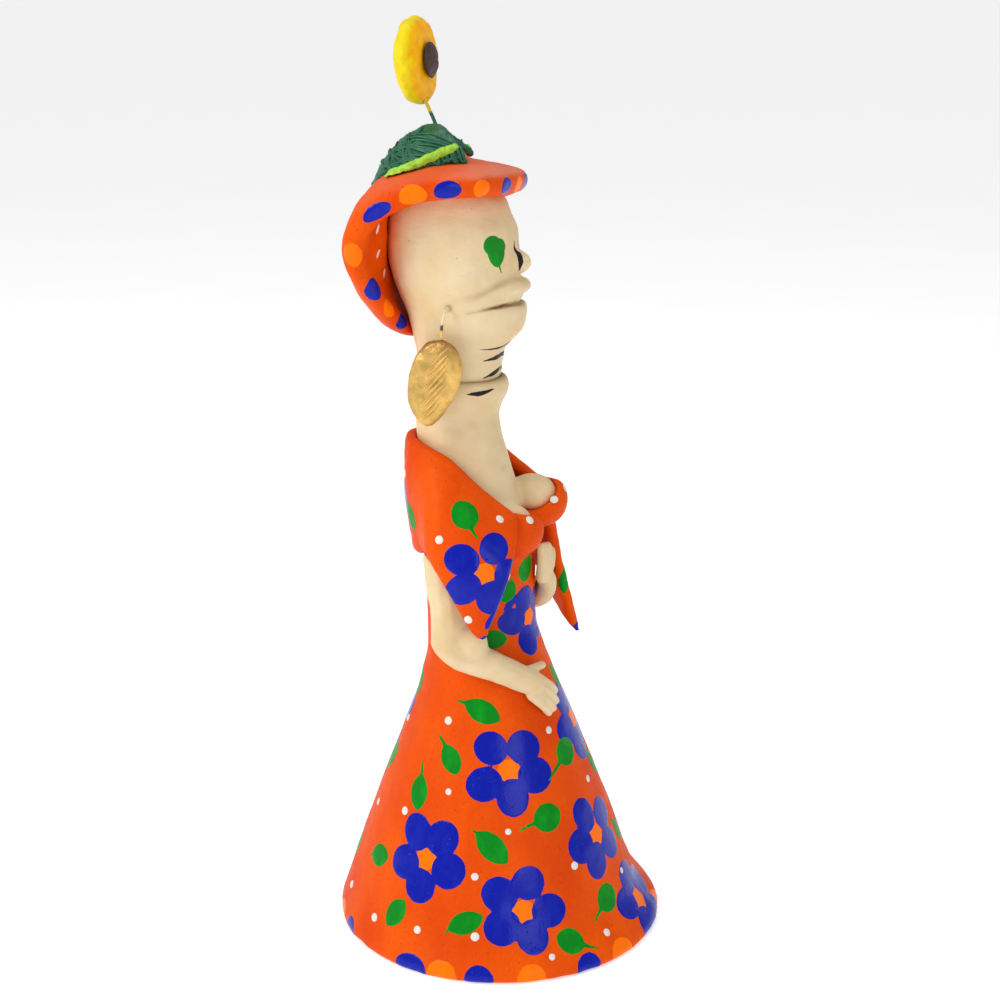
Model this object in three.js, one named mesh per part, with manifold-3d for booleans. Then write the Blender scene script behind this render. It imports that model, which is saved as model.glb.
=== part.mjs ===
// A modelled catrina figure: a skeleton lady with a bell skirt, a draped shawl, a folded hat with
// two feathers, a flower on a wire and two hanging earrings.
// Millimetres, +Z up. The origin is the middle of the hem on the table; she faces -Y and her
// right side is -X.
import * as THREE from 'three';
import Module from 'manifold-3d';
import { mergeVertices } from 'three/addons/utils/BufferGeometryUtils.js';

const wasm = await Module();
wasm.setup();

// ---------------------------------------------------------------- driving dimensions
const GAP = 0.3; // left between pieces that touch
const HEM_RADIUS = 40; // outer radius of the skirt at its widest
const WAIST_HEIGHT = 76; // top of the skirt
const WAIST_HALF_WIDTH = 12.5;
const WAIST_BACK = 4.7; // how far the waist's centre stands behind the hem's centre
const SKIRT_WALL = 3.2;
const CORE_WALL = 1.2; // rolled card cone inside the skirt
const SHAWL_THICKNESS = 2.8;
const HAT_THICKNESS = 5.4;
const BRIM_HALF_WIDTH = 22.8;
const FEATHER_THICKNESS = 2.8;
const ARM_WIRE_RADIUS = 0.7;
const SPINE_WIRE_RADIUS = 1.5;
const WIRE_CLEARANCE = 0.3;
const EARRING_WIRE_RADIUS = 0.4;
const EARRING_LENGTH = 20.5;
const EARRING_WIDTH = 12.8;
const EARRING_THICKNESS = 3.4;
const EAR_HOLE = { x: 12.9, y: 8.2, z: 152.3, depth: 4.5, radius: 0.75 };
const FLOWER_DIAMETER = 20;
const FLOWER_THICKNESS = 6.4;
const FLOWER_CENTRE_DIAMETER = 8.2;
const STEM_RADIUS = 0.45;
const STEM_CLEARANCE = 0.45; // lets the stem lean in its hole
const STEM_GRIP = 4.2; // length of stem inside the flower
const DRAWN_WAIST = 76; // waist height that the upper body's tables are drawn for

// ---------------------------------------------------------------- small geometry kit
const vec = (x, y, z) => new THREE.Vector3(x, y, z);
const mirrored = (p) => vec(-p.x, p.y, p.z);
const spline = (points) => new THREE.CatmullRomCurve3(points, false, 'centripetal');
const signedPower = (value, power) => Math.sign(value) * Math.abs(value) ** power;

// Evenly spaced numbers from `from` to `to`, both ends included.
function steps(from, to, count) {
  return Array.from({ length: count + 1 }, (_, i) => from + ((to - from) * i) / count);
}

// Numbers from 0 to 1 that crowd at both ends, so a rounded rim keeps its shape.
function rimSteps(count, rim = 0.045) {
  const fine = [0, 0.15 * rim, 0.5 * rim, rim];
  const middle = steps(rim, 1 - rim, count).slice(1, -1);
  return [...fine, ...middle, ...fine.map((t) => 1 - t).reverse()];
}

// A smooth table: rows of [key, value, value...] read at any key by cubic pieces.
function smoothTable(rows) {
  const slope = (i, c) => {
    const before = rows[Math.max(i - 1, 0)];
    const after = rows[Math.min(i + 1, rows.length - 1)];
    return (after[c] - before[c]) / (after[0] - before[0]);
  };
  return (key) => {
    const last = rows.length - 2;
    let i = 0;
    while (i < last && key > rows[i + 1][0]) i += 1;
    const span = rows[i + 1][0] - rows[i][0];
    const t = THREE.MathUtils.clamp((key - rows[i][0]) / span, 0, 1);
    return rows[i].slice(1).map((value, k) => {
      const c = k + 1;
      const a = 2 * t ** 3 - 3 * t ** 2 + 1;
      const b = t ** 3 - 2 * t ** 2 + t;
      const d = t ** 3 - t ** 2;
      return a * value + b * span * slope(i, c) + (1 - a) * rows[i + 1][c] + d * span * slope(i + 1, c);
    });
  };
}

// A horizontal oval ring between a front and a back edge; power 2 is an ellipse, more is boxier.
function ovalRing(z, halfWidth, front, back, count, power = 2) {
  const centre = (front + back) / 2;
  const depth = (back - front) / 2;
  return steps(0, 2 * Math.PI, count).slice(0, -1).map((a) => vec(
    halfWidth * signedPower(Math.cos(a), 2 / power),
    centre + depth * signedPower(Math.sin(a), 2 / power),
    z,
  ));
}

function volumeOf(positions, index) {
  const p = (i) => vec(positions[3 * i], positions[3 * i + 1], positions[3 * i + 2]);
  let total = 0;
  for (let i = 0; i < index.length; i += 3) {
    total += p(index[i]).dot(p(index[i + 1]).cross(p(index[i + 2])));
  }
  return total / 6;
}

// A closed geometry from points and triangles, turned so that its faces point out.
function closedGeometry(points, triangles) {
  const positions = points.flatMap((p) => [p.x, p.y, p.z]);
  const outward = volumeOf(positions, triangles) > 0;
  const index = outward ? triangles : triangles.slice().reverse();
  const geometry = new THREE.BufferGeometry();
  geometry.setAttribute('position', new THREE.Float32BufferAttribute(positions, 3));
  geometry.setIndex(index);
  const merged = mergeVertices(geometry, 1e-4);
  const kept = [];
  for (let i = 0; i < index.length; i += 3) {
    const [a, b, c] = [0, 1, 2].map((k) => merged.index.getX(i + k));
    if (a !== b && b !== c && c !== a) kept.push(a, b, c);
  }
  merged.setIndex(kept);
  return merged;
}

// Quads between neighbouring rings of equal count.
function bandTriangles(start, next, count) {
  const triangles = [];
  for (let i = 0; i < count; i += 1) {
    const j = (i + 1) % count;
    triangles.push(start + i, start + j, next + j, start + i, next + j, next + i);
  }
  return triangles;
}

// Skin through rings. An open run of rings gets a fan at each end; a closed run is a ring body.
function skin(rings, closed = false) {
  const count = rings[0].length;
  const points = rings.flat();
  const triangles = [];
  const bands = closed ? rings.length : rings.length - 1;
  for (let r = 0; r < bands; r += 1) {
    triangles.push(...bandTriangles(r * count, ((r + 1) % rings.length) * count, count));
  }
  if (!closed) {
    [[0, false], [rings.length - 1, true]].forEach(([r, flip]) => {
      const pole = points.length;
      const middle = rings[r].reduce((sum, p) => sum.add(p), vec(0, 0, 0)).divideScalar(count);
      points.push(middle);
      for (let i = 0; i < count; i += 1) {
        const a = r * count + i;
        const b = r * count + ((i + 1) % count);
        triangles.push(...(flip ? [pole, a, b] : [pole, b, a]));
      }
    });
  }
  return closedGeometry(points, triangles);
}

// A stack of oval rings read from a smooth table of [z, halfWidth, front, back].
function ovalStack(table, heights, count, { grow = 0, power = 2 } = {}) {
  return skin(heights.map((z) => {
    const [halfWidth, front, back] = table(z);
    return ovalRing(z, halfWidth + grow, front - grow, back + grow, count, power);
  }));
}

function surfaceNormal(surface, u, v) {
  const e = 0.004;
  const du = surface(u + e, v).sub(surface(u - e, v));
  const dv = surface(u, v + e).sub(surface(u, v - e));
  return du.cross(dv).normalize();
}

// How far inside the unit square a point of a sheet is taken to measure the way out of its edge.
const INWARD = 0.02;

// A thick sheet: both sides of surface(u, v) at half(u, v), meeting in a rounded rim. A grown
// sheet also reaches that far out past its edge.
function slab(surface, half, us, vs, grow = 0) {
  const inside = (t) => THREE.MathUtils.clamp(t, INWARD, 1 - INWARD);
  const rimPush = (u, v) => {
    const onEdge = u === 0 || u === 1 || v === 0 || v === 1;
    return onEdge ? surface(u, v).sub(surface(inside(u), inside(v))).setLength(grow) : vec(0, 0, 0);
  };
  const side = (sign) => us.flatMap((u) => vs.map((v) => (
    surface(u, v).addScaledVector(surfaceNormal(surface, u, v), sign * (half(u, v) + grow)).add(rimPush(u, v))
  )));
  const points = [...side(1), ...side(-1)];
  const sheet = us.length * vs.length;
  const triangles = [];
  for (let i = 0; i + 1 < us.length; i += 1) {
    for (let j = 0; j + 1 < vs.length; j += 1) {
      const a = i * vs.length + j;
      const b = a + vs.length;
      triangles.push(a, b, b + 1, a, b + 1, a + 1);
      triangles.push(sheet + a, sheet + b + 1, sheet + b, sheet + a, sheet + a + 1, sheet + b + 1);
    }
  }
  const lastU = us.length - 1;
  const lastV = vs.length - 1;
  const at = (i, j) => i * vs.length + j;
  const rim = [
    ...us.map((_, i) => at(i, 0)),
    ...vs.map((_, j) => at(lastU, j)).slice(1),
    ...us.map((_, i) => at(lastU - i, lastV)).slice(1),
    ...vs.map((_, j) => at(0, lastV - j)).slice(1, -1),
  ];
  rim.forEach((a, i) => {
    const b = rim[(i + 1) % rim.length];
    triangles.push(a, sheet + b, b, a, sheet + a, sheet + b);
  });
  return closedGeometry(points, triangles);
}

// Half thickness that falls to nothing in a round rim, `away` millimetres from the edge.
function roundedRim(away, half) {
  const t = Math.min(away / half, 1);
  return half * Math.sqrt(Math.max(0, 1 - (1 - t) ** 2));
}

// A round limb along points, with a radius at each point and round ends.
function limb(points, radii, sides, count) {
  const curve = spline(points);
  const radiusAt = smoothTable(radii.map((r, i) => [i / (radii.length - 1), r]));
  const frames = curve.computeFrenetFrames(count, false);
  const rings = [];
  const ring = (centre, i, radius) => steps(0, 2 * Math.PI, sides).slice(0, -1).map((a) => (
    centre.clone()
      .addScaledVector(frames.normals[i], radius * Math.cos(a))
      .addScaledVector(frames.binormals[i], radius * Math.sin(a))
  ));
  const cap = (i, direction) => [72, 36].map((degrees) => {
    const [radius] = radiusAt(i / count);
    const a = THREE.MathUtils.degToRad(degrees);
    const centre = curve.getPoint(i / count)
      .addScaledVector(frames.tangents[i], direction * radius * Math.sin(a));
    return ring(centre, i, radius * Math.cos(a));
  });
  rings.push(...cap(0, -1));
  for (let i = 0; i <= count; i += 1) {
    rings.push(ring(curve.getPoint(i / count), i, radiusAt(i / count)[0]));
  }
  rings.push(...cap(count, 1).reverse());
  return skin(rings);
}

// A wire of one thickness along a curve.
function wire(points, radius, sides = 8, count = 12) {
  const section = new THREE.Shape(steps(0, 2 * Math.PI, sides).slice(0, -1).map((a) => (
    new THREE.Vector2(radius * Math.cos(a), radius * Math.sin(a))
  )));
  return new THREE.ExtrudeGeometry(section, { steps: count, extrudePath: spline(points) });
}

function ellipsoid(centre, radii, across = 20, up = 14) {
  const ball = new THREE.SphereGeometry(1, across, up);
  return ball.scale(radii.x, radii.y, radii.z).translate(centre.x, centre.y, centre.z);
}

// ---------------------------------------------------------------- joins and cuts
function solid(geometry) {
  const bare = geometry.clone();
  bare.deleteAttribute('normal');
  bare.deleteAttribute('uv');
  const merged = mergeVertices(bare, 1e-4);
  return new wasm.Manifold(new wasm.Mesh({
    numProp: 3,
    vertProperties: new Float32Array(merged.attributes.position.array),
    triVerts: new Uint32Array(merged.index.array),
  }));
}

function join(...bodies) {
  return bodies.reduce((sum, body) => sum.add(body));
}

function cut(body, ...tools) {
  return tools.reduce((rest, tool) => rest.subtract(tool), body);
}

function geometryOf(body) {
  const mesh = body.getMesh();
  const geometry = new THREE.BufferGeometry();
  geometry.setAttribute('position', new THREE.BufferAttribute(new Float32Array(mesh.vertProperties), 3));
  geometry.setIndex(new THREE.BufferAttribute(new Uint32Array(mesh.triVerts), 1));
  geometry.computeVertexNormals();
  return geometry;
}

// ---------------------------------------------------------------- skirt
// The lower rows are measured up from the hem, the upper ones down from the waist.
const skirtProfile = smoothTable([
  [0, HEM_RADIUS - 0.4, 0],
  [1.4, HEM_RADIUS, 0],
  [4, HEM_RADIUS - 1.6, 0.7],
  [9, HEM_RADIUS - 4.3, 1.9],
  [16, HEM_RADIUS - 6.9, 2.2],
  [28, HEM_RADIUS - 11.1, 2.2],
  [WAIST_HEIGHT - 34, HEM_RADIUS - 16.4, 2.3],
  [WAIST_HEIGHT - 18, WAIST_HALF_WIDTH + 4.9, 2.6],
  [WAIST_HEIGHT - 8, WAIST_HALF_WIDTH + 1.6, 3.4],
  [WAIST_HEIGHT, WAIST_HALF_WIDTH + 0.3, WAIST_BACK],
]);
const SKIRT_HEIGHTS = [
  0, 1.4, 4, 9, 16, 28, WAIST_HEIGHT - 34, WAIST_HEIGHT - 18, WAIST_HEIGHT - 8, WAIST_HEIGHT,
];
const SKIRT_SIDES = 40;

function skirtRing(z, inset) {
  const [radius, back] = skirtProfile(z);
  return ovalRing(z, radius - inset, back - radius + inset, back + radius - inset, SKIRT_SIDES);
}

// A bell shell between two insets from the outside, open below and above.
function bell(outerInset, innerInset, heights) {
  const outside = heights.map((z) => skirtRing(z, outerInset));
  const inside = heights.map((z) => skirtRing(z, innerInset)).reverse();
  return skin([...outside, ...inside], true);
}

function skirtShell() {
  return solid(bell(0, SKIRT_WALL, SKIRT_HEIGHTS));
}

// The core starts above the hem and ends below the waist, and follows the shell's inside.
function skirtCore() {
  const outer = SKIRT_WALL + GAP;
  return solid(bell(outer, outer + CORE_WALL, SKIRT_HEIGHTS.slice(3, -1)));
}

// The skirt as a full body, grown, for cutting the arm that lies on it. It is moved to where the
// upper body's tables expect it.
function skirtBody(grow) {
  const body = solid(skin(SKIRT_HEIGHTS.map((z) => skirtRing(z, -grow))));
  return body.translate([0, 0, DRAWN_WAIST - WAIST_HEIGHT]);
}

// ---------------------------------------------------------------- bodice
const bodiceProfile = smoothTable([
  [DRAWN_WAIST + GAP, WAIST_HALF_WIDTH, WAIST_BACK - 13.2, WAIST_BACK + 13.2],
  [82, WAIST_HALF_WIDTH + 0.1, WAIST_BACK - 13.1, WAIST_BACK + 13.3],
  [88, WAIST_HALF_WIDTH + 0.9, WAIST_BACK - 13, WAIST_BACK + 13.7],
  [94, 14.6, -8.3, 19],
  [100, 15.4, -7.8, 19.6],
  [105, 14.6, -6, 20.2],
  [109, 12.5, -3, 20.4],
]);
const BODICE_HEIGHTS = [DRAWN_WAIST + GAP, 82, 88, 94, 100, 105, 109];

function bust(grow) {
  const r = (x, y, z) => vec(x + grow, y + grow, z + grow);
  return join(
    solid(ellipsoid(vec(-6.2, -5.4, 100.2), r(6.7, 7.2, 6.8))),
    solid(ellipsoid(vec(7.3, -7.0, 104), r(6.9, 7.4, 7))),
  );
}

// The V neckline: everything above a bent line, low between the breasts, high at the shoulders.
function aboveNeckline() {
  const line = [
    [-22, 107], [-11, 106], [-6, 103.8], [-1, 102.2], [1, 102], [3.5, 105.6], [8, 108.6], [22, 110.4],
  ];
  const outline = new THREE.Shape([...line, [22, 130], [-22, 130]].map(([x, z]) => new THREE.Vector2(x, z)));
  const block = new THREE.ExtrudeGeometry(outline, { depth: 60, bevelEnabled: false });
  return solid(block.rotateX(Math.PI / 2).translate(0, 40, 0));
}

function bodiceBody(grow) {
  return join(solid(ovalStack(bodiceProfile, BODICE_HEIGHTS, 28, { grow })), bust(grow));
}

// ---------------------------------------------------------------- chest, neck and its socket
const neckProfile = smoothTable([
  [96, 8.5, -2, 15],
  [101, 10.4, -4.6, 17],
  [104.5, 10.9, -5.2, 18],
  [108, 10.6, -4.2, 18.6],
  [112.5, 10.0, -2.6, 19.2],
  [117.5, 9.3, -1.2, 19.8],
  [121.5, 8.9, 0, 20.2],
  [125.6, 8.7, 0.7, 20.3],
  [128.5, 9.2, -0.2, 20.3],
  [131.3, 10, -1.7, 20.3],
  [133.4, 10.1, -1.8, 20.2],
  [135, 9.4, -0.8, 19.8],
]);
const NECK_HEIGHTS = [96, 101, 104.5, 108, 112.5, 117.5, 121.5, 125.6, 128.5, 131.3, 133.4, 135];

function neckAndChest(grow) {
  const r = (x, y, z) => vec(x + grow, y + grow, z + grow);
  return join(
    solid(ovalStack(neckProfile, NECK_HEIGHTS, 24, { grow })),
    solid(ellipsoid(vec(-5.4, -4.4, 100.8), r(5.4, 5.2, 5.2), 14, 8)),
    solid(ellipsoid(vec(7, -5.6, 105.6), r(5.6, 6.2, 4.6), 16, 10)),
  );
}

// ---------------------------------------------------------------- skull
const skullProfile = smoothTable([
  [129.5, 6.2, 3.5, 16.2],
  [132, 7.6, 1.4, 18.2],
  [135, 8.7, 0.1, 19.2],
  [138, 9, -0.3, 19.6],
  [141.1, 9.3, -0.7, 20],
  [143, 10.2, -2.2, 20.4],
  [146, 11.2, -5.1, 21.2],
  [149, 11.7, -6, 22],
  [151.4, 11.9, -6.2, 22.8],
  [153.2, 12.2, -5, 23.6],
  [156, 12.7, -4.4, 24.6],
  [159.1, 13.2, -4.3, 25.6],
  [163, 13.5, -4.2, 26.7],
  [166.5, 13.6, -3.7, 27.2],
  [170.5, 13.5, -2.5, 27],
  [174.2, 13.1, -1.3, 26],
  [178, 12, 1, 23.6],
  [181, 9.6, 4.5, 19.5],
]);
const SKULL_HEIGHTS = [
  129.5, 132, 135, 138, 141.1, 143, 146, 149, 151.4, 153.2, 156, 159.1, 163, 166.5, 170.5, 174.2, 178, 181,
];
const SKULL_SIDES = 24;
const SKULL_BOXINESS = 2.1;
const MOUTH = { front: -9, corner: 4.2, low: 152.0, high: 153.1, cornerHeight: 151.2 };

function skullHead(grow) {
  const r = (x, y, z) => vec(x + grow, y + grow, z + grow);
  return join(
    solid(ovalStack(skullProfile, SKULL_HEIGHTS, SKULL_SIDES, { grow, power: SKULL_BOXINESS })),
    solid(ellipsoid(vec(0, -2.6, 161.6), r(2.5, 4.8, 3.2), 12, 8)),
    solid(ellipsoid(vec(0, 1.8, 156), r(9.5, 8.8, 3.1), 18, 8)),
  );
}

// The neck stub below the chin, grown, for the socket that takes it.
function neckStub(grow) {
  const heights = SKULL_HEIGHTS.filter((z) => z <= 138);
  heights[0] -= grow;
  return solid(skin(heights.map((z) => {
    const [halfWidth, front, back] = skullProfile(z);
    return ovalRing(z, halfWidth + grow, front - grow, back + grow, SKULL_SIDES, SKULL_BOXINESS);
  })));
}

// The mouth is one thin slit, open at the front and closing at its corners.
function mouthSlit() {
  const outline = new THREE.Shape([
    new THREE.Vector2(MOUTH.front, MOUTH.low),
    new THREE.Vector2(MOUTH.corner, MOUTH.cornerHeight),
    new THREE.Vector2(MOUTH.front, MOUTH.high),
  ]);
  const wedge = new THREE.ExtrudeGeometry(outline, { depth: 40, bevelEnabled: false });
  // The outline's x runs along Y and its y along Z; the depth runs along X.
  wedge.applyMatrix4(new THREE.Matrix4().makeBasis(vec(0, 1, 0), vec(0, 0, 1), vec(1, 0, 0)));
  return solid(wedge.translate(-20, 0, 0));
}

function earHole(side) {
  const hole = new THREE.CylinderGeometry(EAR_HOLE.radius, EAR_HOLE.radius, 2 * EAR_HOLE.depth, 10);
  return solid(hole.rotateZ(Math.PI / 2).translate(side * EAR_HOLE.x, EAR_HOLE.y, EAR_HOLE.z));
}

// ---------------------------------------------------------------- hat
// Each row runs from the middle of the hat out to the brim: the brim's edge, then the two
// points that bend the sheet on its way there. Rows go from the front round her right to the tail.
const HAT_MIDDLE = vec(0, 14, 182.5);
const HAT_TOP = HAT_MIDDLE.z + HAT_THICKNESS / 2;
const STEM_FOOT = vec(0, 13.5, HAT_TOP + 1);
const brim = (inset, y, z) => vec(inset - BRIM_HALF_WIDTH, y, z);
const HAT_ROWS = [
  { edge: vec(0, -4.1, 178.4), outer: vec(0, 0.6, 180.4), inner: vec(0, 7, 181.8) },
  { edge: brim(7.3, -1.7, 179.4), outer: vec(-9.5, 2, 180.8), inner: vec(-4, 8, 182) },
  { edge: brim(1.5, 8, 179.2), outer: vec(-15.5, 9.5, 180.8), inner: vec(-7.8, 12, 182.2) },
  { edge: brim(0, 15.5, 177), outer: vec(-17, 15, 180), inner: vec(-8.5, 14.5, 182) },
  { edge: brim(0, 22, 173), outer: vec(-17.8, 21, 178.4), inner: vec(-8.8, 19, 181.6) },
  { edge: brim(0.5, 26.6, 166.5), outer: vec(-18, 27, 175), inner: vec(-8.5, 23.5, 180.8) },
  { edge: brim(3.3, 26.6, 160), outer: vec(-17, 32, 169.5), inner: vec(-7.2, 27, 180.4) },
  { edge: vec(-16, 24.4, 155), outer: vec(-14, 35.5, 165), inner: vec(-5.5, 29.6, 180.2) },
  { edge: vec(-11, 22.2, 149.8), outer: vec(-9.5, 39, 161), inner: vec(-3.8, 31.8, 180.2) },
  { edge: vec(-5.5, 20.6, 145.6), outer: vec(-4.6, 41.4, 158.6), inner: vec(-1.9, 32.8, 180.2) },
  { edge: vec(0, 20, 143.4), outer: vec(0, 42.2, 157.8), inner: vec(0, 33.2, 180.2) },
];
const LEFT_BRIM_DROP = 2.2; // the hat sits a little lower on her left
const HAT_PAD = { depth: 7, from: 0.25, to: 0.9 }; // filling behind the head, inside the folded back

function closedLoopCurve(name) {
  const right = HAT_ROWS.map((row) => row[name]);
  const left = right.slice(1, -1).reverse().map((p) => (
    mirrored(p).add(vec(0, 0, (LEFT_BRIM_DROP * p.x) / BRIM_HALF_WIDTH))
  ));
  return new THREE.CatmullRomCurve3([...right, ...left], true, 'centripetal');
}

const hatCurves = {
  edge: closedLoopCurve('edge'),
  outer: closedLoopCurve('outer'),
  inner: closedLoopCurve('inner'),
};

// A point of the hat's middle sheet: out is 0 at the middle and 1 at the brim, turn is 0 to 1 round.
function hatSheet(out, turn) {
  const t = turn - Math.floor(turn);
  const path = new THREE.CubicBezierCurve3(
    HAT_MIDDLE,
    hatCurves.inner.getPoint(t),
    hatCurves.outer.getPoint(t),
    hatCurves.edge.getPoint(t),
  );
  return path.getPoint(Math.min(out, 1));
}

function hatNormal(out, turn) {
  const e = 0.004;
  const away = Math.min(Math.max(out, 0.02), 1 - e);
  const across = hatSheet(away + e, turn).sub(hatSheet(away - e, turn));
  const along = hatSheet(away, turn + e).sub(hatSheet(away, turn - e));
  return along.cross(across).normalize();
}

const HAT_TURNS = 36;
const HAT_RUNGS = [0.08, 0.25, 0.42, 0.58, 0.72, 0.84, 0.92, 0.97, 0.992, 1];

// A closed body over the hat's sheet, between two heights above it. A grown one also reaches
// that far out past the brim.
function hatBody(rungs, above, below, grow) {
  const turns = steps(0, 1, HAT_TURNS).slice(0, -1);
  const rimPush = (out, turn) => (
    out < 1 ? vec(0, 0, 0) : hatSheet(1, turn).sub(hatSheet(1 - INWARD, turn)).setLength(grow)
  );
  const ring = (out, height) => turns.map((turn) => (
    hatSheet(out, turn).addScaledVector(hatNormal(out, turn), height(out, turn)).add(rimPush(out, turn))
  ));
  const top = rungs.map((out) => ring(out, above));
  const bottom = rungs.map((out) => ring(out, below)).reverse();
  return skin([...top, ...bottom]);
}

const HAT_REACH = 26; // rough way from the hat's middle to its brim
const hatHalf = (out, grow) => roundedRim((1 - out) * HAT_REACH, HAT_THICKNESS / 2) + grow;

function hatPlain(grow) {
  return solid(hatBody(HAT_RUNGS, (out) => hatHalf(out, grow), (out) => -hatHalf(out, grow), grow));
}

// The folded back is filled out towards the head: deepest in the middle of the back.
function hatPad(out, turn) {
  const share = THREE.MathUtils.clamp((out - HAT_PAD.from) / (HAT_PAD.to - HAT_PAD.from), 0, 1);
  const behind = Math.max(0, -Math.cos(2 * Math.PI * turn)) ** 0.7;
  return HAT_PAD.depth * behind * Math.sin(Math.PI * share);
}

function hatPadded() {
  const below = (out, turn) => -hatHalf(out, 0) - hatPad(out, turn);
  return solid(hatBody(HAT_RUNGS, (out) => hatHalf(out, 0), below, 0));
}

// The low crown stands on the hat under the feathers.
const CROWN = { wall: 0.8, rise: 1.4 };

function crownShare(turn) {
  return 0.275 + 0.01 * Math.cos(2 * Math.PI * turn) - 0.065 * Math.cos(4 * Math.PI * turn);
}

function hatCrown() {
  const floor = HAT_THICKNESS / 2 + GAP;
  const rungs = [0.2, 0.6, 0.9, 1];
  const turns = steps(0, 1, 20).slice(0, -1);
  const ring = (share, lift) => turns.map((turn) => {
    const out = share * crownShare(turn);
    return hatSheet(out, turn).addScaledVector(hatNormal(out, turn), floor + lift);
  });
  const top = rungs.map((share) => ring(share, CROWN.wall + CROWN.rise * Math.sqrt(1 - share ** 2)));
  const bottom = rungs.map((share) => ring(share, 0)).reverse();
  return solid(skin([...top, ...bottom]));
}

// ---------------------------------------------------------------- feathers
const CREST = { centre: vec(0, 14.6, HAT_TOP - 9.2), radii: vec(17.2, 16.4, 16.9), roundness: 1.62 };
const FEATHER_LOWER = [
  vec(-12.5, 9.5, 0.2), vec(-15.6, 0.8, 2.6), vec(-14.2, -4.5, 3.7), vec(-11.4, -8.4, 4.4), vec(-8, -11, 5.8),
];
const FEATHER_RIB = [
  vec(-11.5, 10.5, 2.4), vec(-14, 2.5, 6.5), vec(-12.3, -2.7, 9.3), vec(-9.7, -5.3, 10.6), vec(-6, -7.6, 11.6),
];
const FEATHER_UPPER = [
  vec(-4, 12.5, 0.5), vec(-2.2, 9.5, 9), vec(-1.3, 4.5, 14), vec(-1.2, 1, 16), vec(-2.2, -1.2, 16),
];
const FEATHER_REACH = { long: 30, wide: 15 };
const LEFT_FEATHER_SHARE = 0.56; // the left feather is this much of the right one's length

function onCrest(direction, inset) {
  const radii = CREST.radii.clone().subScalar(inset);
  const shares = [direction.x / radii.x, direction.y / radii.y, direction.z / radii.z];
  const reach = shares.reduce((sum, share) => sum + Math.abs(share) ** CREST.roundness, 0);
  const scale = 1 / reach ** (1 / CREST.roundness);
  return direction.clone().multiplyScalar(scale).add(CREST.centre);
}

const featherCurves = [FEATHER_LOWER, FEATHER_RIB, FEATHER_UPPER].map(spline);

// along runs from the feather's base at the back to its tip at the front, across from its lower
// edge (0) over the rib (0.5) to its upper edge (1).
function featherSheet(along, across, length) {
  const a = length * THREE.MathUtils.clamp(along, 0, 1);
  const [lower, rib, upper] = featherCurves.map((curve) => curve.getPoint(a));
  const bend = new THREE.QuadraticBezierCurve3(
    lower,
    rib.multiplyScalar(2).addScaledVector(lower, -0.5).addScaledVector(upper, -0.5),
    upper,
  );
  return onCrest(bend.getPoint(THREE.MathUtils.clamp(across, 0, 1)), FEATHER_THICKNESS / 2);
}

function feather(length, grow) {
  const sheet = (along, across) => featherSheet(along, across, length);
  const half = (along, across) => {
    const toEnd = Math.min(along, 1 - along) * FEATHER_REACH.long * length;
    const toSide = Math.min(across, 1 - across) * FEATHER_REACH.wide;
    return roundedRim(Math.min(toEnd, toSide), FEATHER_THICKNESS / 2);
  };
  return solid(slab(sheet, half, rimSteps(9, 0.05), rimSteps(6, 0.09), grow));
}

function featherRib(length) {
  const lift = FEATHER_THICKNESS / 2 + 0.3;
  const points = [0.15, 0.32, 0.5, 0.68, 0.88].map((along) => {
    const p = featherSheet(along, 0.5, length);
    const out = p.clone().sub(CREST.centre).normalize();
    return p.addScaledVector(out, lift);
  });
  return solid(limb(points, [1.7, 1.3, 1.2, 1.15, 1], 8, 8));
}

// ---------------------------------------------------------------- shawl with its two sleeves
// Each row runs from the neckline down to the lower edge: three points, neckline, middle, hem.
const SHAWL_RIGHT = [
  [vec(-10.5, -7.4, 104.2), vec(-17.6, -8.4, 95), vec(-23.2, -3.8, 78.6)],
  [vec(-10.3, -5.6, 105.6), vec(-19.6, -6.2, 95.6), vec(-24, -1.8, 79.4)],
  [vec(-10.8, -1.6, 108.6), vec(-21.4, -1.4, 100), vec(-24.3, 1.2, 84)],
  [vec(-11.6, 3, 112.8), vec(-21, 4.6, 104.5), vec(-23.8, 5, 90.2)],
  [vec(-11.6, 8.4, 117.4), vec(-19.4, 9.6, 108.6), vec(-22.4, 8.8, 95.4)],
  [vec(-10, 13.6, 119.4), vec(-15.2, 13.6, 109.5), vec(-17.2, 11, 96)],
  [vec(-5.8, 19, 120.4), vec(-9.2, 18.6, 108.5), vec(-10.6, 15.8, 93.5)],
  [vec(0, 21.8, 120.6), vec(0, 21.6, 107), vec(0, 19.4, 91.5)],
];
const SHAWL_LEFT = [
  [vec(12.5, -8.6, 106.6), vec(15.8, -9.4, 90), vec(18.4, -14.6, 67)],
  [vec(12.8, -6, 107.8), vec(18.6, -5.6, 92.5), vec(20.6, -10.2, 70.6)],
  [vec(13, -2, 110), vec(21, -1, 98), vec(23.2, -3.2, 80.5)],
  [vec(12.4, 3, 113.4), vec(21.2, 4, 104.5), vec(23.8, 4.4, 89)],
  [vec(11.8, 8.4, 117.4), vec(19.4, 9.6, 108.6), vec(22.4, 8.8, 95.4)],
  [vec(10, 13.6, 119.4), vec(15.2, 13.6, 109.5), vec(17.2, 11, 96)],
  [vec(5.8, 19, 120.4), vec(9.2, 18.6, 108.5), vec(10.6, 15.8, 93.5)],
];
const SHAWL_REACH = { round: 110, down: 24 };

const shawlCurves = [0, 1, 2].map((column) => spline(
  [...SHAWL_RIGHT, ...SHAWL_LEFT.slice().reverse()].map((row) => row[column]),
));

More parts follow.
